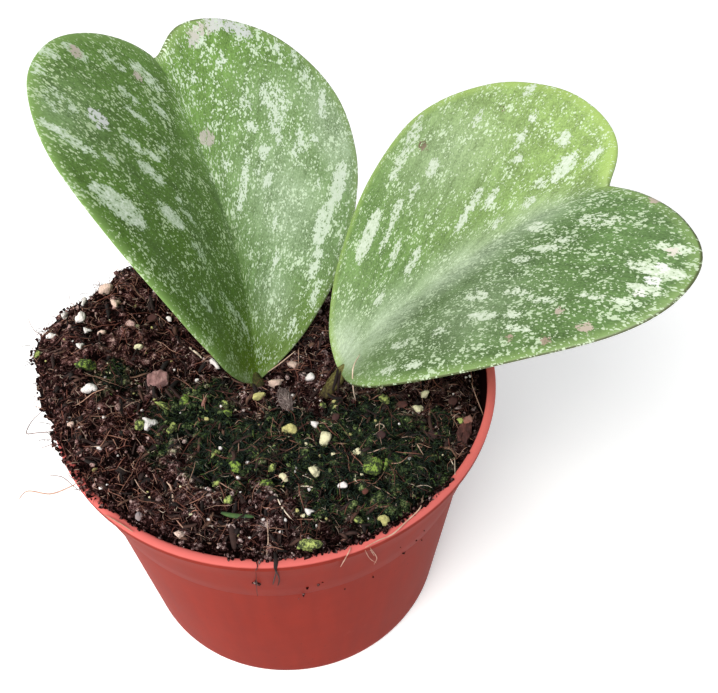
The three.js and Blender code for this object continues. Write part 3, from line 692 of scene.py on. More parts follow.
def damp_peat():
    """Damp peat with coir dust: red-brown, with painted shade that is lighter on the raised crumbs and
    near black in the hollows, dark green where algae grow, and a painted shadow that darkens it towards the
    right rim."""
    material, tree = material_tree("damp peat")
    place = add(tree, "TexCoord").outputs["Object"]
    across = add(tree, "SeparateXYZ", (place,)).outputs["X"]
    tint, algae = (add(tree, "Attribute", attribute_name=mark).outputs["Fac"] for mark in ("tint", "algae"))
    crumb_mm, grit_mm, clod_mm, fray_mm = 0.9, 0.3, 4.5, 2.2
    rust_starts, rust_full, right_shadow_starts, right_shadow_full = -12, -36, 30, 46

    # One shade for each place, from the crumbs, the grit, the damp clods and the tint: each loose crumb's
    # own, and on the soil's surface a painted shade by height
    crumbly = {"Vector": place, "Scale": 1 / crumb_mm / MM, "Detail": 5, "Roughness": 0.7}
    crumbs = add(tree, "TexNoise", crumbly)
    grit = add(tree, "TexNoise", {"Vector": place, "Scale": 1 / grit_mm / MM, "Detail": 3})
    mixed = add(tree, "MixRGB", (0.45, crumbs, grit))
    spread = add(tree, "MapRange", (mixed, 0.36, 0.64))
    shaded = add(tree, "Math", (spread, 0.72, -0.12), operation="MULTIPLY_ADD")
    clods = add(tree, "TexNoise", {"Vector": place, "Scale": 1 / clod_mm / MM, "Detail": 3})
    damp = add(tree, "Math", (clods, 0.8, -0.41), operation="MULTIPLY_ADD")
    film_and_shade = add(tree, "Math", (damp, shaded))
    lifted = add(tree, "Math", (tint, 0.66, film_and_shade), operation="MULTIPLY_ADD")

    # The shade as peat and as algae, which take over where they are thick enough
    shades = (0.15, 0.33, 0.48, 0.62, 0.78, 0.95)
    browns = ("#050101", "#170706", "#372120", "#644a49", "#9a827e", "#cfbeb8")
    greens = ("#020302", "#0d120a", "#242d1c", "#39482c", "#5d6b41", "#929f68")
    brown, green = (add(tree, "ValToRGB", (lifted,), list(zip(shades, row))) for row in (browns, greens))
    to_left = add(tree, "MapRange", (across, rust_starts * MM, rust_full * MM, 0, 0.35))
    rusty = add(tree, "MixRGB", (to_left, brown, linear("#8c5045")), blend_type="OVERLAY")
    fray = add(tree, "TexNoise", {"Vector": place, "Scale": 1 / fray_mm / MM, "Detail": 5})
    edge = add(tree, "Math", (fray, 0.9, algae), operation="MULTIPLY_ADD")
    cover = add(tree, "MapRange", (edge, 0.75, 1.05))
    grown = add(tree, "MixRGB", (cover, rusty, green))
    # Painted shadow: the soil darkens towards the right rim, as in the shade of the leaf and the rim
    painted_right_shadow = add(tree, "MapRange", (across, right_shadow_starts * MM, right_shadow_full * MM, 0, 0.6))
    colour = add(tree, "MixRGB", (painted_right_shadow, grown, linear("#0b0604")))
    surface(tree, grit, 0.9, 0.4, Base_Color=colour, Roughness=0.7, IOR=1.4, Specular_IOR_Level=0.04)
    return material


def tinted_fibre(name, stops, roughness):
    """Dry plant fibre: matt, each strand its own shade, with darker stretches along it."""
    material, tree = material_tree(name)
    place = add(tree, "TexCoord").outputs["Object"]
    tint = add(tree, "Attribute", attribute_name="tint").outputs["Fac"]
    stretch_mm = 1.2
    patches = add(tree, "TexNoise", {"Vector": place, "Scale": 1 / stretch_mm / MM, "Detail": 3})
    shade = add(tree, "Math", (patches, 0.3, tint), operation="MULTIPLY_ADD")
    shifted = add(tree, "Math", (shade, 0.15), operation="SUBTRACT")
    colour = add(tree, "ValToRGB", (shifted,), stops)
    surface(tree, patches, 0.4, 0.15, Base_Color=colour, Roughness=roughness, IOR=1.45)
    return material


def expanded_perlite():
    """Expanded perlite: chalky white and porous, some of it yellow or green with algae."""
    material, tree = material_tree("expanded perlite")
    place = add(tree, "TexCoord").outputs["Object"]
    tint = add(tree, "Attribute", attribute_name="tint").outputs["Fac"]
    pore_mm, blotch_mm = 0.45, 0.9
    finishes = (WHITE, CREAM, YELLOW, LIME, GREEN, PEACH)
    colours = ("#e9e2df", "#ded8b2", "#c9c27e", "#a3b060", "#7f9a3c", "#dcbfb0")
    stain = add(tree, "ValToRGB", (tint,), list(zip(finishes, colours)))

    # The yellow and green grains have dark green blotches, the white and the peach ones have none
    blotched = {"Vector": place, "Scale": 1 / blotch_mm / MM, "Detail": 5, "Roughness": 0.7}
    blotch = add(tree, "TexNoise", blotched)
    stain_and_shade = add(tree, "MapRange", (tint, 0.3, 0.6))
    unstained = add(tree, "MapRange", (tint, 0.85, 0.95, 1, 0))
    green_part = add(tree, "MapRange", (blotch, 0.44, 0.52, 0, 0.95))
    share = add(tree, "Math", (stain_and_shade, green_part), operation="MULTIPLY")
    share = add(tree, "Math", (share, unstained), operation="MULTIPLY")
    mossy = add(tree, "MixRGB", (share, stain, linear("#16230a")))
    pores = add(tree, "TexVoronoi", {"Vector": place, "Scale": 1 / pore_mm / MM})
    dark = add(tree, "MapRange", (pores, 0.1, 0.3, 0.55, 0))
    colour = add(tree, "MixRGB", (dark, mossy, linear("#5d5640")))
    surface(tree, pores, 0.6, 0.3, Base_Color=colour, Roughness=0.9, IOR=1.5)
    return material


def splashed_leaf(name, tones, sheen, crowding):
    """A hoya leaf: a waxy, thick skin over green flesh. The eye gets a soft sheen, countless
    pale specks drawn out along the veins, ragged silvery splashes and a paler margin, partly a
    painted glow. Patterns are in millimetres across the veins, along them, and across the leaf."""
    material, tree = material_tree(name)
    leaf, vein, scar = (
        add(tree, "Attribute", attribute_name=mark).outputs["Vector"]
        for mark in ("leaf_mm", "vein_mm", "scar")
    )
    margin, side, painted_sheen, splash, face = (
        add(tree, "Attribute", attribute_name=mark).outputs["Fac"]
        for mark in ("margin_mm", "side", "painted_sheen", "splash", "face")
    )
    along = add(tree, "SeparateXYZ", (leaf,)).outputs["Y"]
    # Each half has its own tones, partly real and partly painted light: the half that faces the light is
    # painted lighter
    halves = {}
    for part in ("flesh", "lobe", "margin", "fleck", "splash"):
        near, far = linear(tones["near " + part]), linear(tones["far " + part])
        halves[part] = add(tree, "MixRGB", (side, near, far))

    # Green flesh: a tone on each side of the crease, partly real and partly painted light, out to the lobes
    # and at the base
    mottle_mm, base_to, lobes_at = 8, 22, 76
    mottle = add(tree, "TexNoise", {"Vector": leaf, "Scale": 1 / mottle_mm, "Detail": 5})
    drawn = add(tree, "Mapping", {0: vein, 3: (1 / 1.4, 1 / 14, 0.1)})
    veins = add(tree, "TexNoise", {"Vector": drawn, "Scale": 1, "Detail": 3})
    outward = add(tree, "MapRange", (along, base_to, lobes_at))
    flesh = add(tree, "MixRGB", (outward, halves["flesh"], halves["lobe"]))
    near_base = add(tree, "MapRange", (along, 3, base_to, 0.9, 0))
    based = add(tree, "MixRGB", (near_base, flesh, linear(tones["base"])))

    # The flesh is uneven, in broad patches and in its cells, and so is the painted sheen on it
    uneven = add(tree, "MixRGB", (0.5, mottle, veins))
    cellular = add(tree, "Mapping", {0: vein, 3: (1 / 0.3, 1 / 0.55, 0.5)})
    grain = add(tree, "TexNoise", {"Vector": cellular, "Scale": 1, "Detail": 2})
    broad = add(tree, "MapRange", (uneven, 0.3, 0.7, 0.3, 0.7))
    varied = add(tree, "MixRGB", (0.45, broad, grain))
    depth = add(tree, "MapRange", (varied, 0.36, 0.64, 0.56, 1.44))
    toned = add(tree, "VectorMath", {0: based, "Scale": depth}, operation="SCALE")
    patchy = add(tree, "MapRange", (varied, 0.38, 0.62, 0.4, 1.35))
    painted_sheen_share = add(tree, "Math", (painted_sheen, patchy), operation="MULTIPLY")
    with_painted_sheen = add(tree, "MixRGB", (painted_sheen_share, toned, linear(tones["painted_sheen"])))

    # A pale band inside the margin, partly the leaf's paler edge and partly a painted glow of light on and
    # through the thin edge, and a painted dark shade along the very edge of the far half
    pale_edge = add(tree, "MapRange", (margin, 0.4, 2.7, 0.8, 0))
    bordered = add(tree, "MixRGB", (pale_edge, with_painted_sheen, halves["margin"]))
    # Painted shade: a dark line along the very edge of the far half, where its margin turns down
    outermost = add(tree, "MapRange", (margin, 0.15, 0.5, 0.8, 0))
    film_and_shade = add(tree, "Math", (outermost, side), operation="MULTIPLY")
    edged = add(tree, "MixRGB", (film_and_shade, bordered, linear(tones["rim"])))

    # Specks of three sizes and torn shreds of the same pale green, all drawn out along the veins
    torn_mm, herd_mm = 0.8, 5
    torn = add(tree, "TexNoise", {"Vector": vein, "Scale": 1 / torn_mm, "Detail": 3}).outputs["Color"]
    bent = add(tree, "VectorMath", (torn, (0.7, 1.1, 0), vein), operation="MULTIPLY_ADD")
    herds = add(tree, "TexNoise", {"Vector": leaf, "Scale": 1 / herd_mm, "Detail": 3})
    crowd = add(tree, "Math", (herds, add(tree, "MapRange", (side, 0, 1, *crowding))))
    shredded = add(tree, "Mapping", {0: vein, 3: (1 / 0.75, 1 / 2.2, 0.3)})
    shreds = add(tree, "TexNoise", {"Vector": shredded, "Scale": 1, "Detail": 5, "Roughness": 0.7})
    marks = add(tree, "MapRange", (shreds, 0.63, 0.68, 0, 0.85))
    speck_sizes = [(0.38, 0.56, 0.22, 0.86), (0.66, 1.2, 0.05, 0.68), (1.35, 2.7, -0.2, 0.46)]
    for width_mm, length_mm, fewest, most in speck_sizes:
        scaled = add(tree, "Mapping", {0: bent, 3: (1 / width_mm, 1 / length_mm, 0.35)})
        cells = add(tree, "TexVoronoi", {"Vector": scaled, "Scale": 1})
        chance = add(tree, "SeparateColor", (cells.outputs["Color"],))
        rare = add(tree, "Math", (chance, 2), operation="POWER")
        size = add(tree, "MapRange", (crowd, 0.3, 0.68, fewest, most))
        reach = add(tree, "Math", (rare, size), operation="MULTIPLY")
        inside = add(tree, "Math", (reach, cells), operation="SUBTRACT")
        layer = add(tree, "MapRange", (inside, -0.03, 0.05))
        marks = add(tree, "Math", (marks, layer), operation="MAXIMUM")
    flecked = add(tree, "MixRGB", (marks, edged, halves["fleck"]))

    # Splashes: silvery patches with ragged edges and dark pores
    ragged = add(tree, "Mapping", {0: vein, 3: (1 / 0.95, 1 / 1.5, 0.4)})
    tatter = add(tree, "TexNoise", {"Vector": ragged, "Scale": 1, "Detail": 4, "Roughness": 0.6})
    pored = add(tree, "Mapping", {0: vein, 3: (1 / 0.32, 1 / 0.5, 0.6)})
    pores = add(tree, "TexNoise", {"Vector": pored, "Scale": 1, "Detail": 2})
    rough_edge = add(tree, "Math", (tatter, 1.5, -1.3), operation="MULTIPLY_ADD")
    pitted = add(tree, "Math", (pores, 1.1, rough_edge), operation="MULTIPLY_ADD")
    value = add(tree, "Math", (splash, pitted))
    silver = add(tree, "MapRange", (value, 0.49, 0.56))
    # The splashes' brightest cores, whiter than the rest, are partly a painted highlight
    core_and_highlight = add(tree, "MapRange", (value, 0.6, 1.1))
    pale = add(tree, "MixRGB", (core_and_highlight, halves["splash"], linear(tones["core_and_highlight"])))
    splashed = add(tree, "MixRGB", (silver, flecked, pale))
    # Scars and crusts, brown to white; the white marks are painted highlights, partly over pale crust
    scarred_and_brown = add(tree, "SeparateXYZ", (scar,))
    crust = add(tree, "Math", (scarred_and_brown.outputs["X"], pitted))
    scarred = add(tree, "MapRange", (crust, 0.49, 0.58, 0, 0.92))
    stops = [(0, "#d6d9d6"), (0.25, "#c5bcb0"), (0.5, "#a08d7f"), (1, "#54452f")]
    scar_and_highlight_colour = add(tree, "ValToRGB", (scarred_and_brown.outputs["Y"],), stops)
    marked = add(tree, "MixRGB", (scarred, splashed, scar_and_highlight_colour))

    # The underside has no splashes
    under = add(tree, "ValToRGB", (uneven,), [(0.3, tones["under dark"]), (0.7, tones["under"])])
    colour = add(tree, "MixRGB", (face, under, marked))

    waxy = add(tree, "MapRange", (silver, 0, 1, 0.4, 0.5))
    raised = add(tree, "Math", (silver, 0.5, mottle), operation="MULTIPLY_ADD")
    surface(tree, raised, 0.2, 0.35, Base_Color=colour, Roughness=waxy, IOR=1.45, Specular_IOR_Level=sheen)
    return material


def stalk_skin(name, stops):
    """The stalks' skin: olive and streaked under the blade, corky and brown at the soil."""
    material, tree = material_tree(name)
    place = add(tree, "TexCoord").outputs["Object"]
    height = add(tree, "SeparateXYZ", (place,)).outputs["Z"]
    rib_mm, rib_length_mm, corky, olive = 0.5, 3, 70, 77
    cork = add(tree, "Mapping", {0: place, 3: per_metre(rib_mm, rib_mm, rib_length_mm)})
    ribs = add(tree, "TexNoise", {"Vector": cork, "Scale": 1, "Detail": 5, "Roughness": 0.65})
    up = add(tree, "MapRange", (height, corky * MM, olive * MM, -0.75, -0.1))
    shade = add(tree, "Math", (ribs, 1.6, up), operation="MULTIPLY_ADD")
    colour = add(tree, "ValToRGB", (shade,), stops)
    surface(tree, ribs, 0.9, 0.4, Base_Color=colour, Roughness=0.7, IOR=1.45, Specular_IOR_Level=0.3)
    return material


def layered(name, colours, layer_mm, roughness):
    """Bark and husk: dry, matt, in thin layers of three shades, which run lengthwise."""
    material, tree = material_tree(name)
    place = add(tree, "TexCoord").outputs["Object"]
    tilt, wide, long = (0.2, 0.1, 0.6), 1 / layer_mm / MM, 0.3 / layer_mm / MM
    stretched = add(tree, "Mapping", {0: place, 2: tilt, 3: (wide, long, wide)})
    layers = add(tree, "TexNoise", {"Vector": stretched, "Scale": 1, "Detail": 6, "Roughness": 0.65})
    colour = add(tree, "ValToRGB", (layers,), list(zip((0.3, 0.5, 0.7), colours)))
    surface(tree, layers, 0.7, 0.4, Base_Color=colour, Roughness=roughness, IOR=1.45)
    return material


# The pot

def outer_radius(height):
    """The outside wall's radius at a height."""
    if height <= COLLAR_BOTTOM:
        return FOOT_RADIUS + (COLLAR_RADIUS - FOOT_RADIUS) * height / COLLAR_BOTTOM
    share = (height - COLLAR_BOTTOM) / (LIP_BOTTOM - COLLAR_BOTTOM)
    return COLLAR_RADIUS + COLLAR_STEP + (RIM_RADIUS - LIP_OVERHANG - COLLAR_RADIUS) * share


def inner_radius(height):
    """The inside wall's radius at any heights."""
    heights = [FLOOR_TOP, COLLAR_BOTTOM, COLLAR_BOTTOM + 0.5, LIP_BOTTOM, POT_HEIGHT]
    walls = [outer_radius(FLOOR_TOP) - WALL, COLLAR_RADIUS - WALL, COLLAR_RADIUS + COLLAR_STEP - WALL]
    walls += [outer_radius(LIP_BOTTOM) - WALL, LIP_INNER]
    return np.interp(height, heights, walls)


def pot_profile():
    """Radius and height of the wall, from under the foot round the lip to the inside floor.
    Neighbouring points a few tenths of a millimetre apart round its corners off."""
    disc, ring = DRAIN_RING
    profile = [(disc, 0), (disc + 0.6, 0.15), (disc + 2, DRAIN_RING_RISE), (ring - 1, DRAIN_RING_RISE)]
    profile += [(ring - 0.1, 0.15), (ring + 0.3, 0)]
    for turn in np.radians(np.linspace(0, 84, 7)):
        out = FOOT_RADIUS - FOOT_BEVEL + math.sin(turn) * FOOT_BEVEL + 0.1
        profile.append((out, FOOT_BEVEL * (1 - math.cos(turn))))
    profile += [(outer_radius(h), h) for h in (*LOW_RINGS, COLLAR_BOTTOM - 0.5)]
    profile += [(COLLAR_RADIUS + 0.02, COLLAR_BOTTOM - 0.1), (COLLAR_RADIUS + 0.25, COLLAR_BOTTOM + 0.05)]
    profile += [(outer_radius(h), h) for h in (COLLAR_BOTTOM + 0.4, *HIGH_RINGS, LIP_BOTTOM - 0.4)]
    profile += [(outer_radius(LIP_BOTTOM) + 0.12, LIP_BOTTOM), (RIM_RADIUS - 0.12, LIP_BOTTOM + 0.5)]
    middle = RIM_RADIUS - LIP_WIDTH / 2
    for turn in np.radians(np.linspace(0, 180, 15)):
        rise = POT_HEIGHT - LIP_ROUNDNESS + math.sin(turn) * LIP_ROUNDNESS
        profile.append((middle + math.cos(turn), rise))
    profile.append((LIP_INNER + 0.05, LIP_INSIDE_FOOT))
    inside = [LIP_BOTTOM, *HIGH_RINGS[::-1], COLLAR_BOTTOM + 0.5]
    inside += [COLLAR_BOTTOM, *LOW_RINGS[:0:-1], FLOOR_TOP + 0.8]
    profile += [(float(inner_radius(h)), h) for h in inside]
    profile += [(float(inner_radius(FLOOR_TOP)) - 0.4, FLOOR_TOP + 0.1)]
    profile += [(float(inner_radius(FLOOR_TOP)) - 1.2, FLOOR_TOP), (disc + 1, FLOOR_TOP), (disc - 1, WALL)]
    return profile


def make_pot(material):
    """The pot as one turned shell, with its drainage holes cut out."""
    sides, hole_sides, sharp_angle = 224, 32, 35
    pot = make_piece("pot_shell", *turned(pot_profile(), sides), material, "pot_plastic")
    cutters = []
    for i in range(DRAIN_HOLES):
        turn = i / DRAIN_HOLES * 2 * math.pi
        wall = [(DRAIN_HOLE_RADIUS, -3), (DRAIN_HOLE_RADIUS, FLOOR_TOP + 3)]
        points, faces = turned(wall, hole_sides)
        centre = [math.cos(turn) * DRAIN_CIRCLE_RADIUS, math.sin(turn) * DRAIN_CIRCLE_RADIUS, 0]
        cutters.append((points + centre, faces))
    cutter = make_piece("drain_cutter", *joined(cutters), material, "pot_plastic")
    cut = pot.modifiers.new("drain holes", "BOOLEAN")
    cut.operation = "DIFFERENCE"
    cut.solver = "EXACT"
    cut.object = cutter
    done = bpy.data.meshes.new_from_object(pot.evaluated_get(bpy.context.evaluated_depsgraph_get()))
    pot.modifiers.clear()
    pot.data = done
    done.set_sharp_from_angle(angle=math.radians(sharp_angle))
    bpy.data.objects.remove(cutter)
    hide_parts("pot")


# The soil's surface

def spill_edge(x, y):
    """How far out the soil reaches: to the lip, or over it where it has spilled."""
    angle = np.degrees(np.arctan2(y, x)) % 360
    ragged = sum(height * np.sin(np.radians(angle) * waves) for height, waves in RAGGED_WAVES)
    spilled = np.interp(angle, *np.transpose(SPILL))
    return LIP_INNER - 0.5 + spilled + ragged * np.minimum(1, spilled)


RELIEF_CELL = 0.25
RELIEF_REACH = 62
relief_axis = np.arange(-RELIEF_REACH, RELIEF_REACH + RELIEF_CELL, RELIEF_CELL)
relief_x, relief_y = np.meshgrid(relief_axis, relief_axis, indexing="ij")


def stamp(relief, x, y, radius, height):
    """Raises a round lump on a relief where it stands above what is there."""
    low = np.maximum(0, np.floor((np.array([x, y]) - radius + RELIEF_REACH) / RELIEF_CELL)).astype(int)
    high = np.ceil((np.array([x, y]) + radius + RELIEF_REACH) / RELIEF_CELL).astype(int) + 1
    window = (slice(low[0], high[0]), slice(low[1], high[1]))
    share = ((relief_x[window] - x) ** 2 + (relief_y[window] - y) ** 2) / radius**2
    relief[window] = np.maximum(relief[window], height * np.sqrt(np.clip(1 - share, 0, 1)))


def soil_relief(crumbs):
    """Heights of the soil on the relief's grid, with the CAD source's clods and with finer crumbs."""
    random = random_stream(CLOD_SEED)
    lumps = np.zeros_like(relief_x)
    for _ in range(CLODS):
        angle = next(random) * 2 * math.pi
        distance = math.sqrt(next(random)) * CLOD_REACH
        radius = between(CLOD_RADIUS, next(random))
        height = between(CLOD_HEIGHT, next(random) ** 2)
        stamp(lumps, math.cos(angle) * distance, math.sin(angle) * distance, radius, height)
    fine = np.zeros_like(relief_x)
    scatter = np.random.default_rng(12)
    for _ in range(crumbs):
        x, y = scatter.uniform(-RIM_RADIUS - 5, RIM_RADIUS + 5, 2)
        radius = between(FINE_CRUMB_RADIUS, scatter.uniform() ** 2)
        stamp(fine, x, y, radius, radius * scatter.uniform(0.35, 0.85))
    u = (relief_x - HEAP_CENTRE[0]) / HEAP_SPREAD[0]
    v = (relief_y - HEAP_CENTRE[1]) / HEAP_SPREAD[1]
    heap = HEAP_RISE * np.exp(-u * u - v * v)
    from_bank = np.hypot(relief_x - BANK_CENTRE[0], relief_y - BANK_CENTRE[1]) / BANK_SPREAD
    heap = heap + BANK_RISE * np.exp(-from_bank * from_bank)
    level = SOIL_LEVEL - SOIL_FALL_RIGHT * relief_x - SOIL_RISE_FRONT * relief_y + heap
    height = level + lumps - 0.5 + (fine - 0.25 if crumbs else 0)
    low = POT_HEIGHT + 0.1
    inside = (np.hypot(relief_x, relief_y) - spill_edge(relief_x, relief_y)) / SHOULDER + 1
    shoulder = np.cos(np.clip(inside, 0, 1) * math.pi / 2)
    return np.where(height < low, height, low + (height - low) * shoulder)


PLAIN_RELIEF = soil_relief(crumbs=0)
SOIL_RELIEF = soil_relief(crumbs=FINE_CRUMBS)


def height_on(relief, x, y):
    """The relief's height at any points, read between its grid points."""
    u = np.clip((np.asarray(x, float) + RELIEF_REACH) / RELIEF_CELL, 0, len(relief_axis) - 1.001)
    v = np.clip((np.asarray(y, float) + RELIEF_REACH) / RELIEF_CELL, 0, len(relief_axis) - 1.001)
    i, j = u.astype(int), v.astype(int)
    u, v = u - i, v - j
    near = relief[i, j] * (1 - u) + relief[i + 1, j] * u
    far = relief[i, j + 1] * (1 - u) + relief[i + 1, j + 1] * u
    return near * (1 - v) + far * v


def soil_at(x, y):
    """The soil's height at any points."""
    return height_on(SOIL_RELIEF, x, y)


def algae_at(x, y):
    """How thick the algae are, from 0 to about 1."""
    x, y = np.asarray(x, float), np.asarray(y, float)
    cover = np.zeros(x.shape)
    for ax, ay, radius, strength in ALGAE:
        away = ((x - ax) ** 2 + (y - ay) ** 2) / radius**2
        cover = np.maximum(cover, strength * np.exp(-(away**1.5)))
    return np.clip(cover + 0.18 * ripple(x, y, 7, 31) * (cover > 0.05), 0, 1)


def make_soil(material):
    """The soil as one closed mass: its top, out to the spill's edge, and its sides down the wall.
    Gaps of some tenths of a millimetre keep it clear of the pot."""
    cells = 216
    side = np.linspace(-1, 1, cells + 1)
    u, v = np.meshgrid(side, side, indexing="ij")
    share = np.maximum(np.abs(u), np.abs(v))
    angle = np.arctan2(v, u)
    radius = share * np.maximum(spill_edge(u, v), LIP_INNER - 0.1)
    height = soil_at(radius * np.cos(angle), radius * np.sin(angle))
    in_pot = height < OVER_LIP
    radius = np.where(in_pot, np.minimum(radius, inner_radius(height) - 0.1), radius)
    height = np.where(~in_pot | (radius < LIP_INNER - 0.3), height, OVER_LIP + 0.05)
    top = np.stack([radius * np.cos(angle), radius * np.sin(angle), height], -1).reshape(-1, 3)

    # The sides, in rings down from the top's border
    number = np.arange((cells + 1) ** 2).reshape(cells + 1, cells + 1)
    border = border_of(number)
    turn = angle.ravel()[border]
    edge, rise = radius.ravel()[border], height.ravel()[border]
    over = edge > LIP_INNER
    shelf = np.where(over, OVER_LIP + 0.02, rise - 0.8)
    neck = np.minimum(edge, LIP_INNER - 0.4)
    rings = [(edge, shelf), (neck, shelf)]
    for low in (60, COLLAR_BOTTOM, 30, FLOOR_TOP + 0.2):
        rings.append((inner_radius(low) - 0.15 + 0 * neck, low + 0 * neck))
    sides = [np.stack([r * np.cos(turn), r * np.sin(turn), z], -1) for r, z in rings]
    count, start = len(border), len(top)
    here, after = np.arange(count), np.roll(np.arange(count), -1)
    walls = np.stack([border, start + here, start + after, np.roll(border, -1)], 1)
    ladder = ring_quads(len(rings), count)[:, ::-1] + start
    last = start + (len(rings) - 1) * count
    middle = start + len(rings) * count
    fan = np.stack([last + here, np.full(count, middle), last + after], 1)
    points = np.vstack([top, *sides, [[0, 0, FLOOR_TOP + 0.2]]])
    random = np.random.default_rng(5)
    x, y = points[:, 0], points[:, 1]
    # Painted shade: the tint follows the height above the plain relief, partly spread at random, so the
    # surface is lighter on the fine crumbs and near black in the hollows between them
    raised = np.clip((soil_at(x, y) - height_on(PLAIN_RELIEF, x, y)) / 0.7, 0, 1)
    marks = {"tint": raised * random.uniform(0.2, 0.9, len(points)), "algae": algae_at(x, y)}
    marks["algae"][start:] = 0
    faces = [quads_of(cells + 1, cells + 1), walls, ladder, fan]
    soil = make_piece("soil_mass", points, faces, material, "potting_soil", marks)
    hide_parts("soil")


# Loose things on the soil

def spots(count, random, reach):
    """Places spread evenly over the soil, to so far past its edge."""
    angle = random.uniform(0, 2 * math.pi, count)
    edge = spill_edge(np.cos(angle), np.sin(angle)) + reach
    distance = np.sqrt(random.uniform(0, 1, count)) * edge
    return np.cos(angle) * distance, np.sin(angle) * distance


def make_crumbs(name, count, seed, material, radii, rounds):
    """Crumbs of peat that lie loose, most of them small, and smaller still among the algae."""
    random = np.random.default_rng(seed)
    x, y = spots(count, random, -0.8)
    size = between(radii, random.uniform(0, 1, count) ** 2.2)
    sizes = size[:, None] * random.uniform(0.55, 1.25, (count, 3))
    places = np.stack([x, y, soil_at(x, y) + size * 0.35], 1)
    turns = random_turns(count, random)
    marks = {"tint": random.uniform(0, 1, count) ** 1.4, "algae": algae_at(x, y)}
    sizes *= 1 - 0.4 * marks["algae"][:, None]
    templates = [lump(seed + shape, rounds, 0.5, cuts=5) for shape in range(4)]
    kind = np.arange(count) % len(templates)
    scattered(name, templates, kind, places, sizes, turns, material, "potting_soil", marks)


def lying_paths(x, y, random, lengths, steps, curl, arch):
    """Paths from given places that wander over the soil, lifted off it in a low arch."""
    count = len(x)
    travel = np.linspace(0, 1, steps)
    length = between(lengths, random.uniform(0, 1, count) ** 1.6)[:, None]
    turn = random.normal(0, curl, (count, 1)) * travel * length
    wobble = random.normal(0, curl * 2.2, (count, 1)) * np.sin(travel * random.uniform(4, 9, (count, 1)))
    heading = random.uniform(0, 2 * math.pi, (count, 1)) + turn + wobble
    step = length / (steps - 1)
    px, py = wandering(x[:, None], y[:, None], heading, step)
    height = arch * random.uniform(-0.2, 1, (count, 1))
    lift = height * np.sin(travel * math.pi * random.uniform(0.5, 1, (count, 1)))
    ground = soil_at(px, py)
    ground = (ground + np.roll(ground, 1, axis=1) + np.roll(ground, -1, axis=1)) / 3
    ground[:, 0], ground[:, -1] = soil_at(px[:, 0], py[:, 0]), soil_at(px[:, -1], py[:, -1])
    pz = ground + 0.15 + np.maximum(lift, -0.3)
    outside = np.hypot(px, py) > spill_edge(px, py) - 0.3
    keep = ~outside.any(axis=1)
    return np.stack([px, py, pz], -1)[keep], keep


def make_strands(name, count, seed, material, lengths, widths, tints, steps, curl, arch, flat=1, sides=3):
    """Many loose fibres or shreds of one kind, fewer where algae bury them."""
    random = np.random.default_rng(seed)
    x, y = spots(count, random, -1)
    bare = random.uniform(0, 1, count) > BURIED_BY_ALGAE * algae_at(x, y)
    x, y, count = x[bare], y[bare], int(bare.sum())
    paths, keep = lying_paths(x, y, random, lengths, steps, curl, arch)
    width = between(widths, random.uniform(0, 1, count) ** 1.8)[keep]
    tint = between(tints, random.uniform(0, 1, count) ** 1.5)[keep]
    points, faces = tubes(paths, tapered(width, steps), sides, flat)
    marks = {"tint": np.repeat(tint, steps * sides)}
    make_piece(name, points, faces, material, "potting_soil", marks)


def make_algae_fuzz(material):
    """Short curled threads of algae and moss, where they cover the soil."""
    random = np.random.default_rng(44)
    tries, steps, sides = 30000, 4, 3
    x, y = spots(tries, random, -2)
    grown = np.flatnonzero(algae_at(x, y) > random.uniform(0.25, 1.1, tries))[:ALGAE_THREADS]
    x, y = x[grown], y[grown]
    count = len(x)
    travel = np.linspace(0, 1, steps)
    heading = random.uniform(0, 2 * math.pi, (count, 1)) + random.normal(0, 1.1, (count, 1)) * travel
    length = random.uniform(0.7, 2.2, (count, 1))
    step = length / (steps - 1)
    px, py = wandering(x[:, None], y[:, None], heading, step)
    rise = random.uniform(0.1, 1.0, (count, 1)) * np.sin(travel * random.uniform(1.6, 3, (count, 1)))
    paths = np.stack([px, py, soil_at(px, py) + 0.05 + rise], -1)
    points, faces = tubes(paths, tapered(random.uniform(0.07, 0.14, count), steps), sides)
    bright = np.where(random.uniform(0, 1, count) < 0.05, 0.85, random.uniform(0, 0.7, count))
    marks = {"tint": np.repeat(bright, steps * sides)}
    make_piece("algae_fuzz", points, faces, material, "potting_soil", marks)


def level_turns(angles):
    """Rotation matrices that turn copies about an upright line."""
    turn, none = np.asarray(angles), np.zeros(len(angles))
    rows = [[np.cos(turn), -np.sin(turn), none], [np.sin(turn), np.cos(turn), none], [none, none, none + 1]]
    return np.moveaxis(np.array(rows), -1, 0)


def make_grains(material):
    """Perlite grains: those that show in their places, and small ones spread by a seed."""
    random = np.random.default_rng(9)
    x, y = spots(SMALL_GRAINS, random, -2)
    small = between(SMALL_GRAIN_RADIUS, random.uniform(0, 1, SMALL_GRAINS) ** 2)
    tint = random.choice([WHITE, WHITE, CREAM, YELLOW], SMALL_GRAINS)
    grains = np.vstack([np.array(GRAINS, float), np.column_stack([x, y, small, small, tint])])
    x, y, wide, long, tint = grains.T
    count = len(grains)
    sizes = np.column_stack([wide, long, (wide + long) * 0.5]) * random.uniform(1.15, 1.4, (count, 3))
    places = np.stack([x, y, soil_at(x, y) + sizes[:, 2] * 0.45], 1)
    turns = level_turns(random.normal(0, 0.3, count))
    shapes, marks = 5, {"tint": tint}
    templates = [lump(90 + shape, rounds, 0.7, cuts=7) for shape in range(shapes) for rounds in (3, 2)]
    kind = np.arange(count) % shapes * 2 + (wide <= LARGE_GRAIN)
    scattered("perlite_grains", templates, kind, places, sizes, turns, material, "potting_soil", marks)


def make_flakes(material):
    """Thin broken flakes of bark."""
    thickness = 0.45
    x, y, wide, long, turn, tint = np.array(FLAKES, float).T
    sizes = np.column_stack([wide, long, thickness + 0 * wide])
    places = np.stack([x, y, soil_at(x, y) + 0.3], 1)
    turns, kind, marks = level_turns(np.radians(turn)), 0 * x, {"tint": tint}
    template = lump(57, 3, 0.6, cuts=6)
    scattered("bark_flakes", [template], kind, places, sizes, turns, material, "bark", marks)


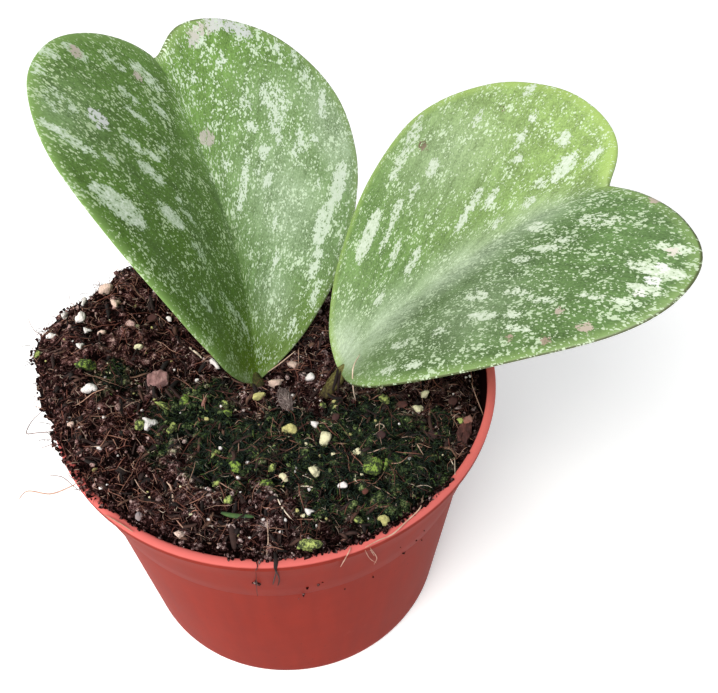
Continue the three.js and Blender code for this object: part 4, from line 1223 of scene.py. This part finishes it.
def make_spilled_crumbs(material):
    """Crumbs of peat on the lip and past the edge of the heap, and dirt on the wall."""
    random = np.random.default_rng(71)
    places, sizes = [], []
    for start, end, count, inner, outer in SPILLED:
        angle = np.radians(random.uniform(start, end, count))
        edge = spill_edge(np.cos(angle), np.sin(angle))
        radius = np.minimum(edge + random.uniform(inner, outer, count), np.maximum(edge, RIM_RADIUS - 0.3))
        size = 0.16 + 0.5 * random.uniform(0, 1, count) ** 2.5
        x, y = np.cos(angle) * radius, np.sin(angle) * radius
        ground = np.where(radius > LIP_INNER - 0.3, np.maximum(soil_at(x, y), POT_HEIGHT), soil_at(x, y))
        places.append(np.stack([x, y, ground + size * 0.4], 1))
        sizes.append(size)
    for angle, height, size in DIRT:
        radius = outer_radius(height) + size * 0.4
        turn = math.radians(angle)
        places.append([[math.cos(turn) * radius, math.sin(turn) * radius, height]])
        sizes.append([size])
    places, size = np.vstack(places), np.concatenate(sizes)
    count = len(size)
    stretched = size[:, None] * random.uniform(0.5, 1.4, (count, 3))
    turns = random_turns(count, random)
    marks = {"tint": random.uniform(0, 0.55, count), "algae": np.zeros(count)}
    template, kind = lump(72, 1, 0.4), np.zeros(count)
    scattered("spilled_crumbs", [template], kind, places, stretched, turns, material, "potting_soil", marks)


def make_edge_fibres(material):
    """Fibres that stick out past the edge of the heaped soil."""
    random = np.random.default_rng(81)
    count, steps, sides = 250, 7, 3
    first_angle, last_angle = 116, 232
    travel = np.linspace(0, 1, steps)
    angle = np.radians(random.uniform(first_angle, last_angle, (count, 1)))
    start = spill_edge(np.cos(angle), np.sin(angle)) - random.uniform(0, 3, (count, 1))
    heading = angle + random.normal(0, 1.3, (count, 1)) + random.normal(0, 1.5, (count, 1)) * travel
    step = random.uniform(0.8, 3.2, (count, 1)) / (steps - 1)
    x, y = wandering(np.cos(angle) * start, np.sin(angle) * start, heading, step)
    ground = np.maximum(soil_at(np.cos(angle) * start, np.sin(angle) * start), OVER_LIP)
    rise = random.uniform(-0.8, 1.6, (count, 1)) * np.sin(travel * 2)
    paths = np.stack([x, y, ground + 0.1 + np.maximum(rise, -0.3)], -1)
    points, faces = tubes(paths, tapered(random.uniform(0.07, 0.16, count), steps), sides)
    marks = {"tint": np.repeat(random.uniform(0.05, 1, count) ** 1.6 * 0.9, steps * sides)}
    make_piece("edge_fibres", points, faces, material, "potting_soil", marks)


# The leaves

def half_outline(half, midrib):
    """Points of one half's margin from the base to the notch, and each one's row in the CAD model."""
    shoulder, notch = math.radians(half["shoulder"]), math.radians(half["notch"])
    width, widest = half["width"], half["widest_at"]
    lobe_x, lobe_y = half["lobe"]
    reach, dip, bow, finer = 0.42 * widest, 0.6 * (lobe_y - midrib), 0.5523, 6
    low = (math.sin(shoulder) * reach, math.cos(shoulder) * reach)
    crest = (width, widest + bow * (lobe_y - widest))
    inward = (math.sin(notch) * dip, midrib + math.cos(notch) * dip)
    curves = [
        (11, [(0, 0), low, (width, widest * 0.62), (width, widest)]),
        (9, [(width, widest), crest, (lobe_x + bow * (width - lobe_x), lobe_y), (lobe_x, lobe_y)]),
        (5, [(lobe_x, lobe_y), (lobe_x * (1 - bow), lobe_y), inward, (0, midrib)]),
    ]
    points, rows, first = [np.zeros((1, 2))], [np.zeros(1)], 0
    for steps, curve in curves:
        fine = steps * finer
        points.append(bezier(*curve, fine)[1:])
        rows.append(first + np.arange(1, fine + 1) / finer)
        first += steps
    return np.vstack(points), np.concatenate(rows)


def leaf_axes(leaf):
    """The leaf's directions: across it, along its midrib, and out of its face."""
    heading, rise, roll = (math.radians(leaf[key]) for key in ("heading", "rise", "roll"))
    along = [math.sin(heading) * math.cos(rise), math.cos(heading) * math.cos(rise), math.sin(rise)]
    level = np.array([math.cos(heading), -math.sin(heading), 0])
    face = np.cross(level, along)
    across = math.cos(roll) * level + math.sin(roll) * face
    out = -math.sin(roll) * level + math.cos(roll) * face
    return np.array([across, along, out])


def vein_angle(across):
    """The angle between the midrib and the veins, at a distance from the midrib."""
    return np.radians(VEIN_END - (VEIN_END - VEIN_START) * np.exp(-across / VEIN_TURN))


def vein_places(x, y):
    """Each point's place across the veins and along them."""
    step = 0.1
    reach = np.arange(0, 50, step)
    rise = np.concatenate([[0], np.cumsum(step / np.tan(vein_angle(reach[1:] - step / 2)))])
    across = (y - np.interp(np.abs(x), reach, rise)) * math.sin(math.radians(VEIN_END))
    along = np.abs(x) * math.sin(math.radians(VEIN_END)) + y * math.cos(math.radians(VEIN_END))
    return np.stack([across, along, x], -1)


def splash_field(x, y, splashes):
    """How strongly each point is splashed: about 0.5 at a splash's edge, more inside, and nothing
    a millimetre outside. A splash is drawn out along the veins."""
    weakest, gain = 0.28, 0.45
    field = np.zeros_like(x)
    for sx, sy, length, width, strength in splashes:
        turn = math.copysign(vein_angle(abs(sx)), sx)
        along = ((x - sx) * math.sin(turn) + (y - sy) * math.cos(turn)) / (length / 2)
        aside = ((x - sx) * math.cos(turn) - (y - sy) * math.sin(turn)) / (width / 2)
        share = np.hypot(along, aside)
        slope = np.hypot(along / (length / 2), aside / (width / 2))
        inside = share * (1 - share) / np.maximum(slope, 1e-6)
        field = np.maximum(field, np.clip(0.5 + 0.5 * inside, 0, weakest + gain * strength))
    return field


def scar_field(x, y, scars_and_highlights):
    """For each point, how strongly a scar or a painted highlight marks it, and how brown the mark is."""
    strongest = 0.66
    strength, brown = np.zeros_like(x), np.zeros_like(x)
    for sx, sy, radius, shade in scars_and_highlights:
        here = np.clip(0.5 + 0.5 * (radius - np.hypot(x - sx, y - sy)), 0, strongest)
        brown = np.where(here > strength, shade, brown)
        strength = np.maximum(strength, here)
    return np.stack([strength, brown, 0 * x], -1)


def blade_half(leaf, half, sign, face, columns):
    """One face of one half of the blade: its points in the pot's frame, and in the flat leaf."""
    outline, row = half_outline(half, leaf["midrib"])
    last, midrib = row[-1], leaf["midrib"]
    t = columns[None]
    x = outline[:, :1] * t
    y = (midrib * row / last)[:, None] * (1 - t) + outline[:, 1:] * t
    fold = np.radians(half["fold"][0] + (half["fold"][1] - half["fold"][0]) * y / midrib)
    taper = np.sqrt(np.minimum(1, np.minimum(row / 3, (last - row) / 2)))[:, None]
    thick = LEAF_THICKNESS / 2 * taper * np.sqrt(1 - t**MARGIN_ROUNDNESS)
    dip = np.hypot(x, VALLEY_RADIUS) - VALLEY_RADIUS
    valley = np.tan(fold) * dip - half["curl"] * x * x

    # Soft waves in the blade, and a groove along the midrib that fades at both ends
    wave_height, wave_length, groove_depth, groove_width = 0.22, 19, 0.25, 0.9
    uneven = wave_height * ripple(sign * x, y, wave_length, 3) * smoothstep(x, 1, 9)
    groove = -groove_depth * np.exp(-((x / groove_width) ** 2))
    groove *= smoothstep(y, 0, 8) * (1 - smoothstep(y, 55, 72))
    z = valley + face * thick - LEAF_THICKNESS / 2 + uneven + groove * face
    bend, along = leaf["bend"], leaf["bend"] * y
    aside = sign * x + leaf["sweep"] * 4 * (y / midrib) * (1 - y / midrib)
    forward = np.sin(along) / bend + z * np.sin(along)
    out = -(1 - np.cos(along)) / bend + z * np.cos(along)
    local = np.stack([aside, forward, out], -1)
    return local @ leaf_axes(leaf) + np.array(leaf["base"]), sign * x, y, outline * [sign, 1]


def make_leaf(name, leaf, splashes, scars_and_highlights, crease, painted_sheen, blade_material, stalk_material):
    """A leaf's blade, whose points carry the marks that its material reads, and its stalk."""
    columns = (1 - np.cos(np.linspace(0, 1, 60) * math.pi)) / 2
    parts, flat, faces_up, margin = [], [], [], []
    for half, sign in ((leaf["near"], -1), (leaf["far"], 1)):
        for face in (1, -1):
            points, x, y, outline = blade_half(leaf, half, sign, face, columns)
            quads = quads_of(*x.shape)
            parts.append((points.reshape(-1, 3), [quads if sign * face < 0 else quads[:, ::-1]]))
            flat.append(np.stack([x.ravel(), y.ravel()], 1))
            faces_up.append(np.full(x.size, max(face, 0)))
            margin.append(outline)
    points, faces = joined(parts)
    flat, face = np.vstack(flat), np.concatenate(faces_up)
    outline = np.vstack([margin[0], margin[2]])
    closest = np.full(len(flat), 99.0)
    for corner in outline:
        closest = np.minimum(closest, np.hypot(*(flat - corner).T))

    # Points that fall together at the margin, the midrib and the ends become one
    together = 0.0005
    _, first, number = np.unique(np.round(points / together), axis=0, return_index=True, return_inverse=True)
    quads = number.ravel()[np.vstack(faces)]
    triangles = np.vstack([quads[:, [0, 1, 2]], quads[:, [0, 2, 3]]])
    a, b, c = triangles.T
    triangles = triangles[(a != b) & (b != c) & (a != c)]
    points, flat, face, closest = points[first], flat[first], face[first], closest[first]

    # The halves' tones meet sharply at the base and softly between the lobes
    x, y = flat.T
    from_crease = x - np.interp(y, *np.transpose(crease))
    softness = 1.6 + 2 * smoothstep(y, 40, 75)
    # Painted sheen: whitish patches where the leaf would reflect the light
    painted_sheen_strength = np.zeros_like(x)
    for bx, by, wide, long, strength in painted_sheen:
        painted_sheen_strength = np.maximum(painted_sheen_strength, strength * np.exp(-(((x - bx) / wide) ** 2) - ((y - by) / long) ** 2))
    marks = {
        "leaf_mm": np.stack([x, y, 0 * x], -1),
        "vein_mm": vein_places(x, y),
        "margin_mm": closest,
        "face": face,
        "side": smoothstep(from_crease / softness, -1, 1),
        "painted_sheen": painted_sheen_strength,
        "splash": splash_field(x, y, splashes),
        "scar": scar_field(x, y, scars_and_highlights),
    }
    blade = make_piece(name + "_blade", points, [triangles], blade_material, "hoya_leaf", marks)
    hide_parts(name)

    # The stalk narrows into the thickness of the blade, and swells a little at the soil
    _, along, out = leaf_axes(leaf)
    inside_blade = np.array(leaf["base"]) + along * STALK_GRIP - out * LEAF_THICKNESS * 0.6
    path = through([*leaf["stalk"][:-1], tuple(inside_blade)], 14)
    travel = np.linspace(0, 1, len(path))
    swell = 1 + 0.12 * np.exp(-(((travel - 0.02) / 0.2) ** 2)) - 0.5 * smoothstep(travel, 0.9, 1)
    swell *= 1 + 0.04 * np.sin(travel * 40) + 0.03 * np.sin(travel * 97)
    closing = np.sqrt(np.clip((1 - travel) / 0.03, 0.05, 1))
    radii = STALK_RADIUS * 0.94 * swell * closing
    points, faces = tubes(path[None], radii[None], sides=28, lean=(0.2, 1, 0.1))
    stalk = make_piece(name + "_stalk", points, faces, stalk_material, "hoya_leaf", sharp=60)
    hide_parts(name)


# The litter

def litter_place(litter, points):
    """Points of a piece of litter, turned and laid on the soil."""
    rotation = level_turns([math.radians(litter["turn"])])[0]
    x, y = litter["at"]
    height = float(height_on(PLAIN_RELIEF, x, y)) + litter["lift"]
    return points @ rotation.T + np.array([x, y, height])


def make_chip(name, litter, seed, material):
    """A broken chip of bark: a slab with an uneven outline, worn edges and a rough face."""
    corners = np.array(CHIP_CORNERS + CHIP_CORNERS[:1])
    share = np.linspace(0, len(CHIP_CORNERS), 57)[:-1]
    outline = np.stack([np.interp(share, np.arange(len(corners)), corners[:, i]) for i in (0, 1)], 1)
    random = np.random.default_rng(seed)
    width, length, height = np.array(litter["size"]) / 2
    levels = [(0.02, -0.96), (0.5, -0.98), (0.9, -0.95), (0.99, -0.6), (1, 0), (0.97, 0.6), (0.9, 0.9)]
    levels += [(0.7, 0.98), (0.45, 1), (0.2, 0.97), (0.02, 0.98)]
    rings = []
    for grow, rise in levels:
        ring = outline * grow * [width, length]
        rough = ripple(ring[:, 0] + seed, ring[:, 1] + rise * 2, 2.1, seed) * 0.16
        rings.append(np.column_stack([ring * (1 + rough[:, None] * 0.25), rise * height + rough]))
    points = np.vstack(rings) + random.normal(0, 0.035, (len(rings) * len(outline), 3))
    faces = closed_rings(len(rings), len(outline))
    chip = make_piece(name + "_lump", litter_place(litter, points), faces, material, "bark", sharp=50)
    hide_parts(name)


def make_husk(material):
    """A dry seed husk: a thin arched flake with a ragged rim and lengthwise ribs."""
    width, length, thick = HUSK["size"]
    rows, columns = 40, 24
    across, along = np.meshgrid(np.linspace(-1, 1, columns), np.linspace(-1, 1, rows))
    taper = 1 - 0.55 * (np.abs(along) / 2) ** 1.5 * 2
    ragged = 1 + 0.1 * ripple(across * 3, along * 4, 1.7, 8)
    x = across * width / 2 * taper * ragged
    y = along * length / 2 * (1 + 0.05 * ripple(across * 2, along, 1.3, 18))
    arch = HUSK["arch"] * (1 - along**2) - 0.12 * x * x + 0.12 * np.cos(across * 14)
    thin = thick / 2 * np.sqrt(np.clip((1 - across**6) * (1 - along**8), 0, 1))
    top = np.stack([x, y, arch + thin], -1).reshape(-1, 3)
    bottom = np.stack([x, y, arch - thin], -1).reshape(-1, 3)
    quads = quads_of(rows, columns)
    number = np.arange(rows * columns).reshape(rows, columns)
    border = border_of(number)
    after = np.roll(border, -1)
    shift = rows * columns
    rim = np.stack([border, after, after + shift, border + shift], 1)
    points = litter_place(HUSK, np.vstack([top, bottom]))
    faces = [quads, quads[:, ::-1] + shift, rim]
    husk = make_piece("dry_husk_flake", points, faces, material, "husk", sharp=60)
    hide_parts("dry_husk")


def make_husk_fibres(material):
    """The husk's fluff: short fibres that lie on it, mostly lengthwise."""
    random = np.random.default_rng(33)
    count, steps, sides = 90, 5, 3
    width, length, thick = HUSK["size"]
    travel = np.linspace(0, 1, steps)
    heading = math.pi / 2 + random.normal(0, 0.5, (count, 1)) + random.normal(0, 0.8, (count, 1)) * travel
    step = random.uniform(1, 3, (count, 1)) / steps
    start_x = random.uniform(-0.5, 0.5, (count, 1)) * width
    start_y = random.uniform(-0.6, 0.3, (count, 1)) * length
    x, y = wandering(start_x, start_y, heading, step)
    rise = HUSK["arch"] + thick / 2 + random.uniform(-0.2, 0.5, (count, 1)) * np.sin(travel * 3)
    fall = 0.25 * (x / width * 2) ** 2 + 0.5 * (y / length * 2) ** 2
    paths = litter_place(HUSK, np.stack([x, y, rise - fall], -1))
    points, faces = tubes(paths, tapered(random.uniform(0.08, 0.16, count), steps), sides)
    marks = {"tint": np.repeat(random.uniform(0.2, 0.9, count), steps * sides)}
    make_piece("husk_fluff", points, faces, material, "husk", marks)


def make_set_strands(name, strands, material, sides=6, flat=1):
    """Strands that each have a route of their own: a width, a tint and its points. A point without
    a height lies on the soil."""
    steps = 8
    parts, tints = [], []
    for width, tint, route in strands:
        route = [p if len(p) == 3 else (*p, float(soil_at(*p)) + width * 0.6) for p in route]
        path = through(route, steps)
        points, faces = tubes(path[None], tapered([width], len(path)), sides, flat)
        parts.append((points, faces))
        tints.append(np.full(len(points), tint))
    points, faces = joined(parts)
    make_piece(name, points, faces, material, "potting_soil", {"tint": np.concatenate(tints)})


# The stage

# The lights' places and sides are in metres, their powers in watts
LIGHT_TARGET = (0.01, 0, 0.09)
LIGHTS = [
    ("window, front left", (-0.25, -0.44, 0.71), 0.45, 7.6, "#fffdf9"),
    ("room, left", (-0.77, -0.08, 0.25), 0.4, 2.6, "#fffaf4"),
    ("wall, right", (0.74, -0.18, 0.35), 0.5, 0.5, "#f4f8ff"),
]


def square_light(name, place, side, power, colour):
    """A soft square light that shines on the plant."""
    data = bpy.data.lights.new(name, "AREA")
    data.shape = "RECTANGLE"
    data.size = side
    data.size_y = side
    data.energy = power
    data.color = linear(colour)[:3]
    light = bpy.data.objects.new(name, data)
    bpy.context.collection.objects.link(light)
    light.location = place
    direction = np.array(LIGHT_TARGET) - np.array(place)
    flat = math.hypot(direction[0], direction[1])
    light.rotation_euler = (math.atan2(flat, -direction[2]), 0, math.atan2(-direction[0], direction[1]))


def make_stage():
    """A floor of white paper that a lamp under it lights a little, as on a light table, soft
    daylight all round, and the lights."""
    reach, below_pot, glow = 2.0, 0.0002, 0.28
    mesh = bpy.data.meshes.new("floor")
    corners = [(-reach, -reach, 0), (reach, -reach, 0), (reach, reach, 0), (-reach, reach, 0)]
    mesh.from_pydata(corners, [], [(0, 1, 2, 3)])
    material, tree = material_tree("lit white paper backdrop")
    place = add(tree, "TexCoord").outputs["Object"]
    fibre = add(tree, "TexNoise", {"Vector": place, "Scale": 900, "Detail": 2})
    colour = add(tree, "ValToRGB", (fibre,), [(0.3, "#f7f7f7"), (0.7, "#fbfbfb")])
    surface(tree, Base_Color=colour, Roughness=0.9, Emission_Color=linear("#ffffff"), Emission_Strength=glow)
    mesh.materials.append(material)
    floor = bpy.data.objects.new("floor", mesh)
    bpy.context.collection.objects.link(floor)
    floor.location.z = -below_pot

    world = bpy.data.worlds.new("soft daylight")
    bpy.context.scene.world = world
    world.use_nodes = True
    background = world.node_tree.nodes["Background"].inputs
    background["Color"].default_value = linear("#f2f6fb")
    background["Strength"].default_value = 0.4
    for light in LIGHTS:
        square_light(*light)


def make_camera():
    """The photograph's camera."""
    data = bpy.data.cameras.new("camera")
    data.sensor_width = 36
    data.lens = CAMERA_LENS
    data.clip_start, data.clip_end = 0.01, 10
    camera = bpy.data.objects.new("camera", data)
    bpy.context.collection.objects.link(camera)
    camera.location = CAMERA_PLACE
    camera.rotation_euler = (math.radians(CAMERA_TILT), 0, 0)
    bpy.context.scene.camera = camera
    bpy.context.scene.view_settings.view_transform = "Standard"


# The whole plant

peat = damp_peat()
coir = tinted_fibre(
    "coir and root fibre",
    [(0, "#180806"), (0.3, "#48231d"), (0.55, "#7c4739"), (0.75, "#b3846f"), (1, "#e6d5bf")],
    0.7,
)
shred = tinted_fibre(
    "shredded peat and wood",
    [(0, "#120b09"), (0.4, "#2e1b17"), (0.7, "#573a2f"), (1, "#9a7a62")],
    0.85,
)
algae_thread = tinted_fibre(
    "algae and moss",
    [(0, "#060e0a"), (0.4, "#14271d"), (0.65, "#2b4330"), (0.85, "#52702f"), (1, "#93ae4c")],
    0.8,
)
make_pot(moulded_polypropylene())
make_soil(peat)
make_crumbs("peat_crumbs_large", 950, 100, peat, radii=(0.35, 1.1), rounds=2)
make_crumbs("peat_crumbs_small", 5000, 200, peat, radii=(0.15, 0.5), rounds=1)
make_spilled_crumbs(peat)
make_strands(
    "peat_shreds", 1100, 21, shred, lengths=(1.2, 5), widths=(0.35, 1.2), tints=(0, 0.8),
    steps=6, curl=0.06, arch=0.7, flat=0.35, sides=4,
)
make_strands(
    "coir_dust", 7500, 24, coir, lengths=(0.7, 3), widths=(0.08, 0.16), tints=(0, 1),
    steps=3, curl=0.4, arch=0.7,
)
make_strands(
    "coir_fibres", 2200, 22, coir, lengths=(2, 9), widths=(0.08, 0.24), tints=(0.05, 0.85),
    steps=8, curl=0.07, arch=1.3,
)
make_edge_fibres(coir)
make_set_strands("roots_and_straw", ROOTS, coir)
make_set_strands("dark_shreds", DARK_SHREDS, shred, flat=0.5)
make_set_strands("moss_lump", MOSS_LUMPS, algae_thread, sides=12, flat=0.6)
make_algae_fuzz(algae_thread)
make_grains(expanded_perlite())
flake_bark = tinted_fibre(
    "flaked bark",
    [(0, "#3d292b"), (0.35, "#4a2a25"), (0.6, "#8a4a3c"), (0.8, "#a08078"), (1, "#8d8588")],
    0.85,
)
make_flakes(flake_bark)

# Partly painted light: the left leaf's far half and the right leaf's near half, which face the light, are
# painted lighter than the other halves
left_tones = {
    "near flesh": "#486919", "near lobe": "#5f7f3e", "near margin": "#7c9c57",
    "near fleck": "#b4c89d", "near splash": "#b0c4a2",
    "far flesh": "#678a44", "far lobe": "#73964b", "far margin": "#8fab66",
    "far fleck": "#d3e4c6", "far splash": "#d6e4ce",
    "base": "#5f7c17", "painted_sheen": "#cad9c2", "rim": "#57633a", "core_and_highlight": "#e2ebdd",
    "under dark": "#5f7a41", "under": "#7b9656",
}
right_tones = {
    "near flesh": "#67854b", "near lobe": "#8aa45f", "near margin": "#a0bb66",
    "near fleck": "#c2d3b3", "near splash": "#bcc9b2",
    "far flesh": "#49642f", "far lobe": "#5a7646", "far margin": "#7d985b",
    "far fleck": "#b0c1a2", "far splash": "#b9c6ae",
    "base": "#7a9560", "painted_sheen": "#c3d1ba", "rim": "#3c3a22", "core_and_highlight": "#d3dccd",
    "under dark": "#6c8649", "under": "#88a35f",
}
left_stalk = stalk_skin("corky stalk, left", [(0, "#141008"), (0.5, "#3b3a1c"), (1, "#6c6f31")])
right_cork = [(0, "#1e140c"), (0.35, "#3e341a"), (0.6, "#615c2f"), (1, "#8f8a56")]
right_stalk = stalk_skin("corky stalk, right", right_cork)
left_skin = splashed_leaf("hoya leaf, left", left_tones, sheen=0.25, crowding=(0.01, 0.03))
right_skin = splashed_leaf("hoya leaf, right", right_tones, sheen=0.35, crowding=(-0.03, 0.04))
left_marks = (LEFT_SPLASHES, LEFT_SCARS_AND_HIGHLIGHTS, LEFT_CREASE, LEFT_PAINTED_SHEEN)
right_marks = (RIGHT_SPLASHES, RIGHT_SCARS_AND_HIGHLIGHTS, RIGHT_CREASE, RIGHT_PAINTED_SHEEN)
make_leaf("leaf_left", LEFT_LEAF, *left_marks, left_skin, left_stalk)
make_leaf("leaf_right", RIGHT_LEAF, *right_marks, right_skin, right_stalk)

mauve_tones = ("#553a37", "#8a6562", "#c09994")
red_tones = ("#2a1514", "#4a2825", "#7c4a42")
husk_tones = ("#2d2422", "#5f514e", "#94867f")
mauve_bark = layered("mauve-brown bark", mauve_tones, layer_mm=1.1, roughness=0.85)
red_bark = layered("red-brown bark", red_tones, layer_mm=0.8, roughness=0.8)
grey_husk = layered("grey seed husk", husk_tones, layer_mm=0.7, roughness=0.8)
make_chip("bark_chip_left", BARK_LEFT, 61, mauve_bark)
make_chip("bark_chip_right", BARK_RIGHT, 62, red_bark)
make_husk(grey_husk)
make_husk_fibres(tinted_fibre("husk fluff", [(0, "#3a2d2a"), (0.5, "#7d6a66"), (1, "#c9bab4")], 0.9))

make_stage()
make_camera()
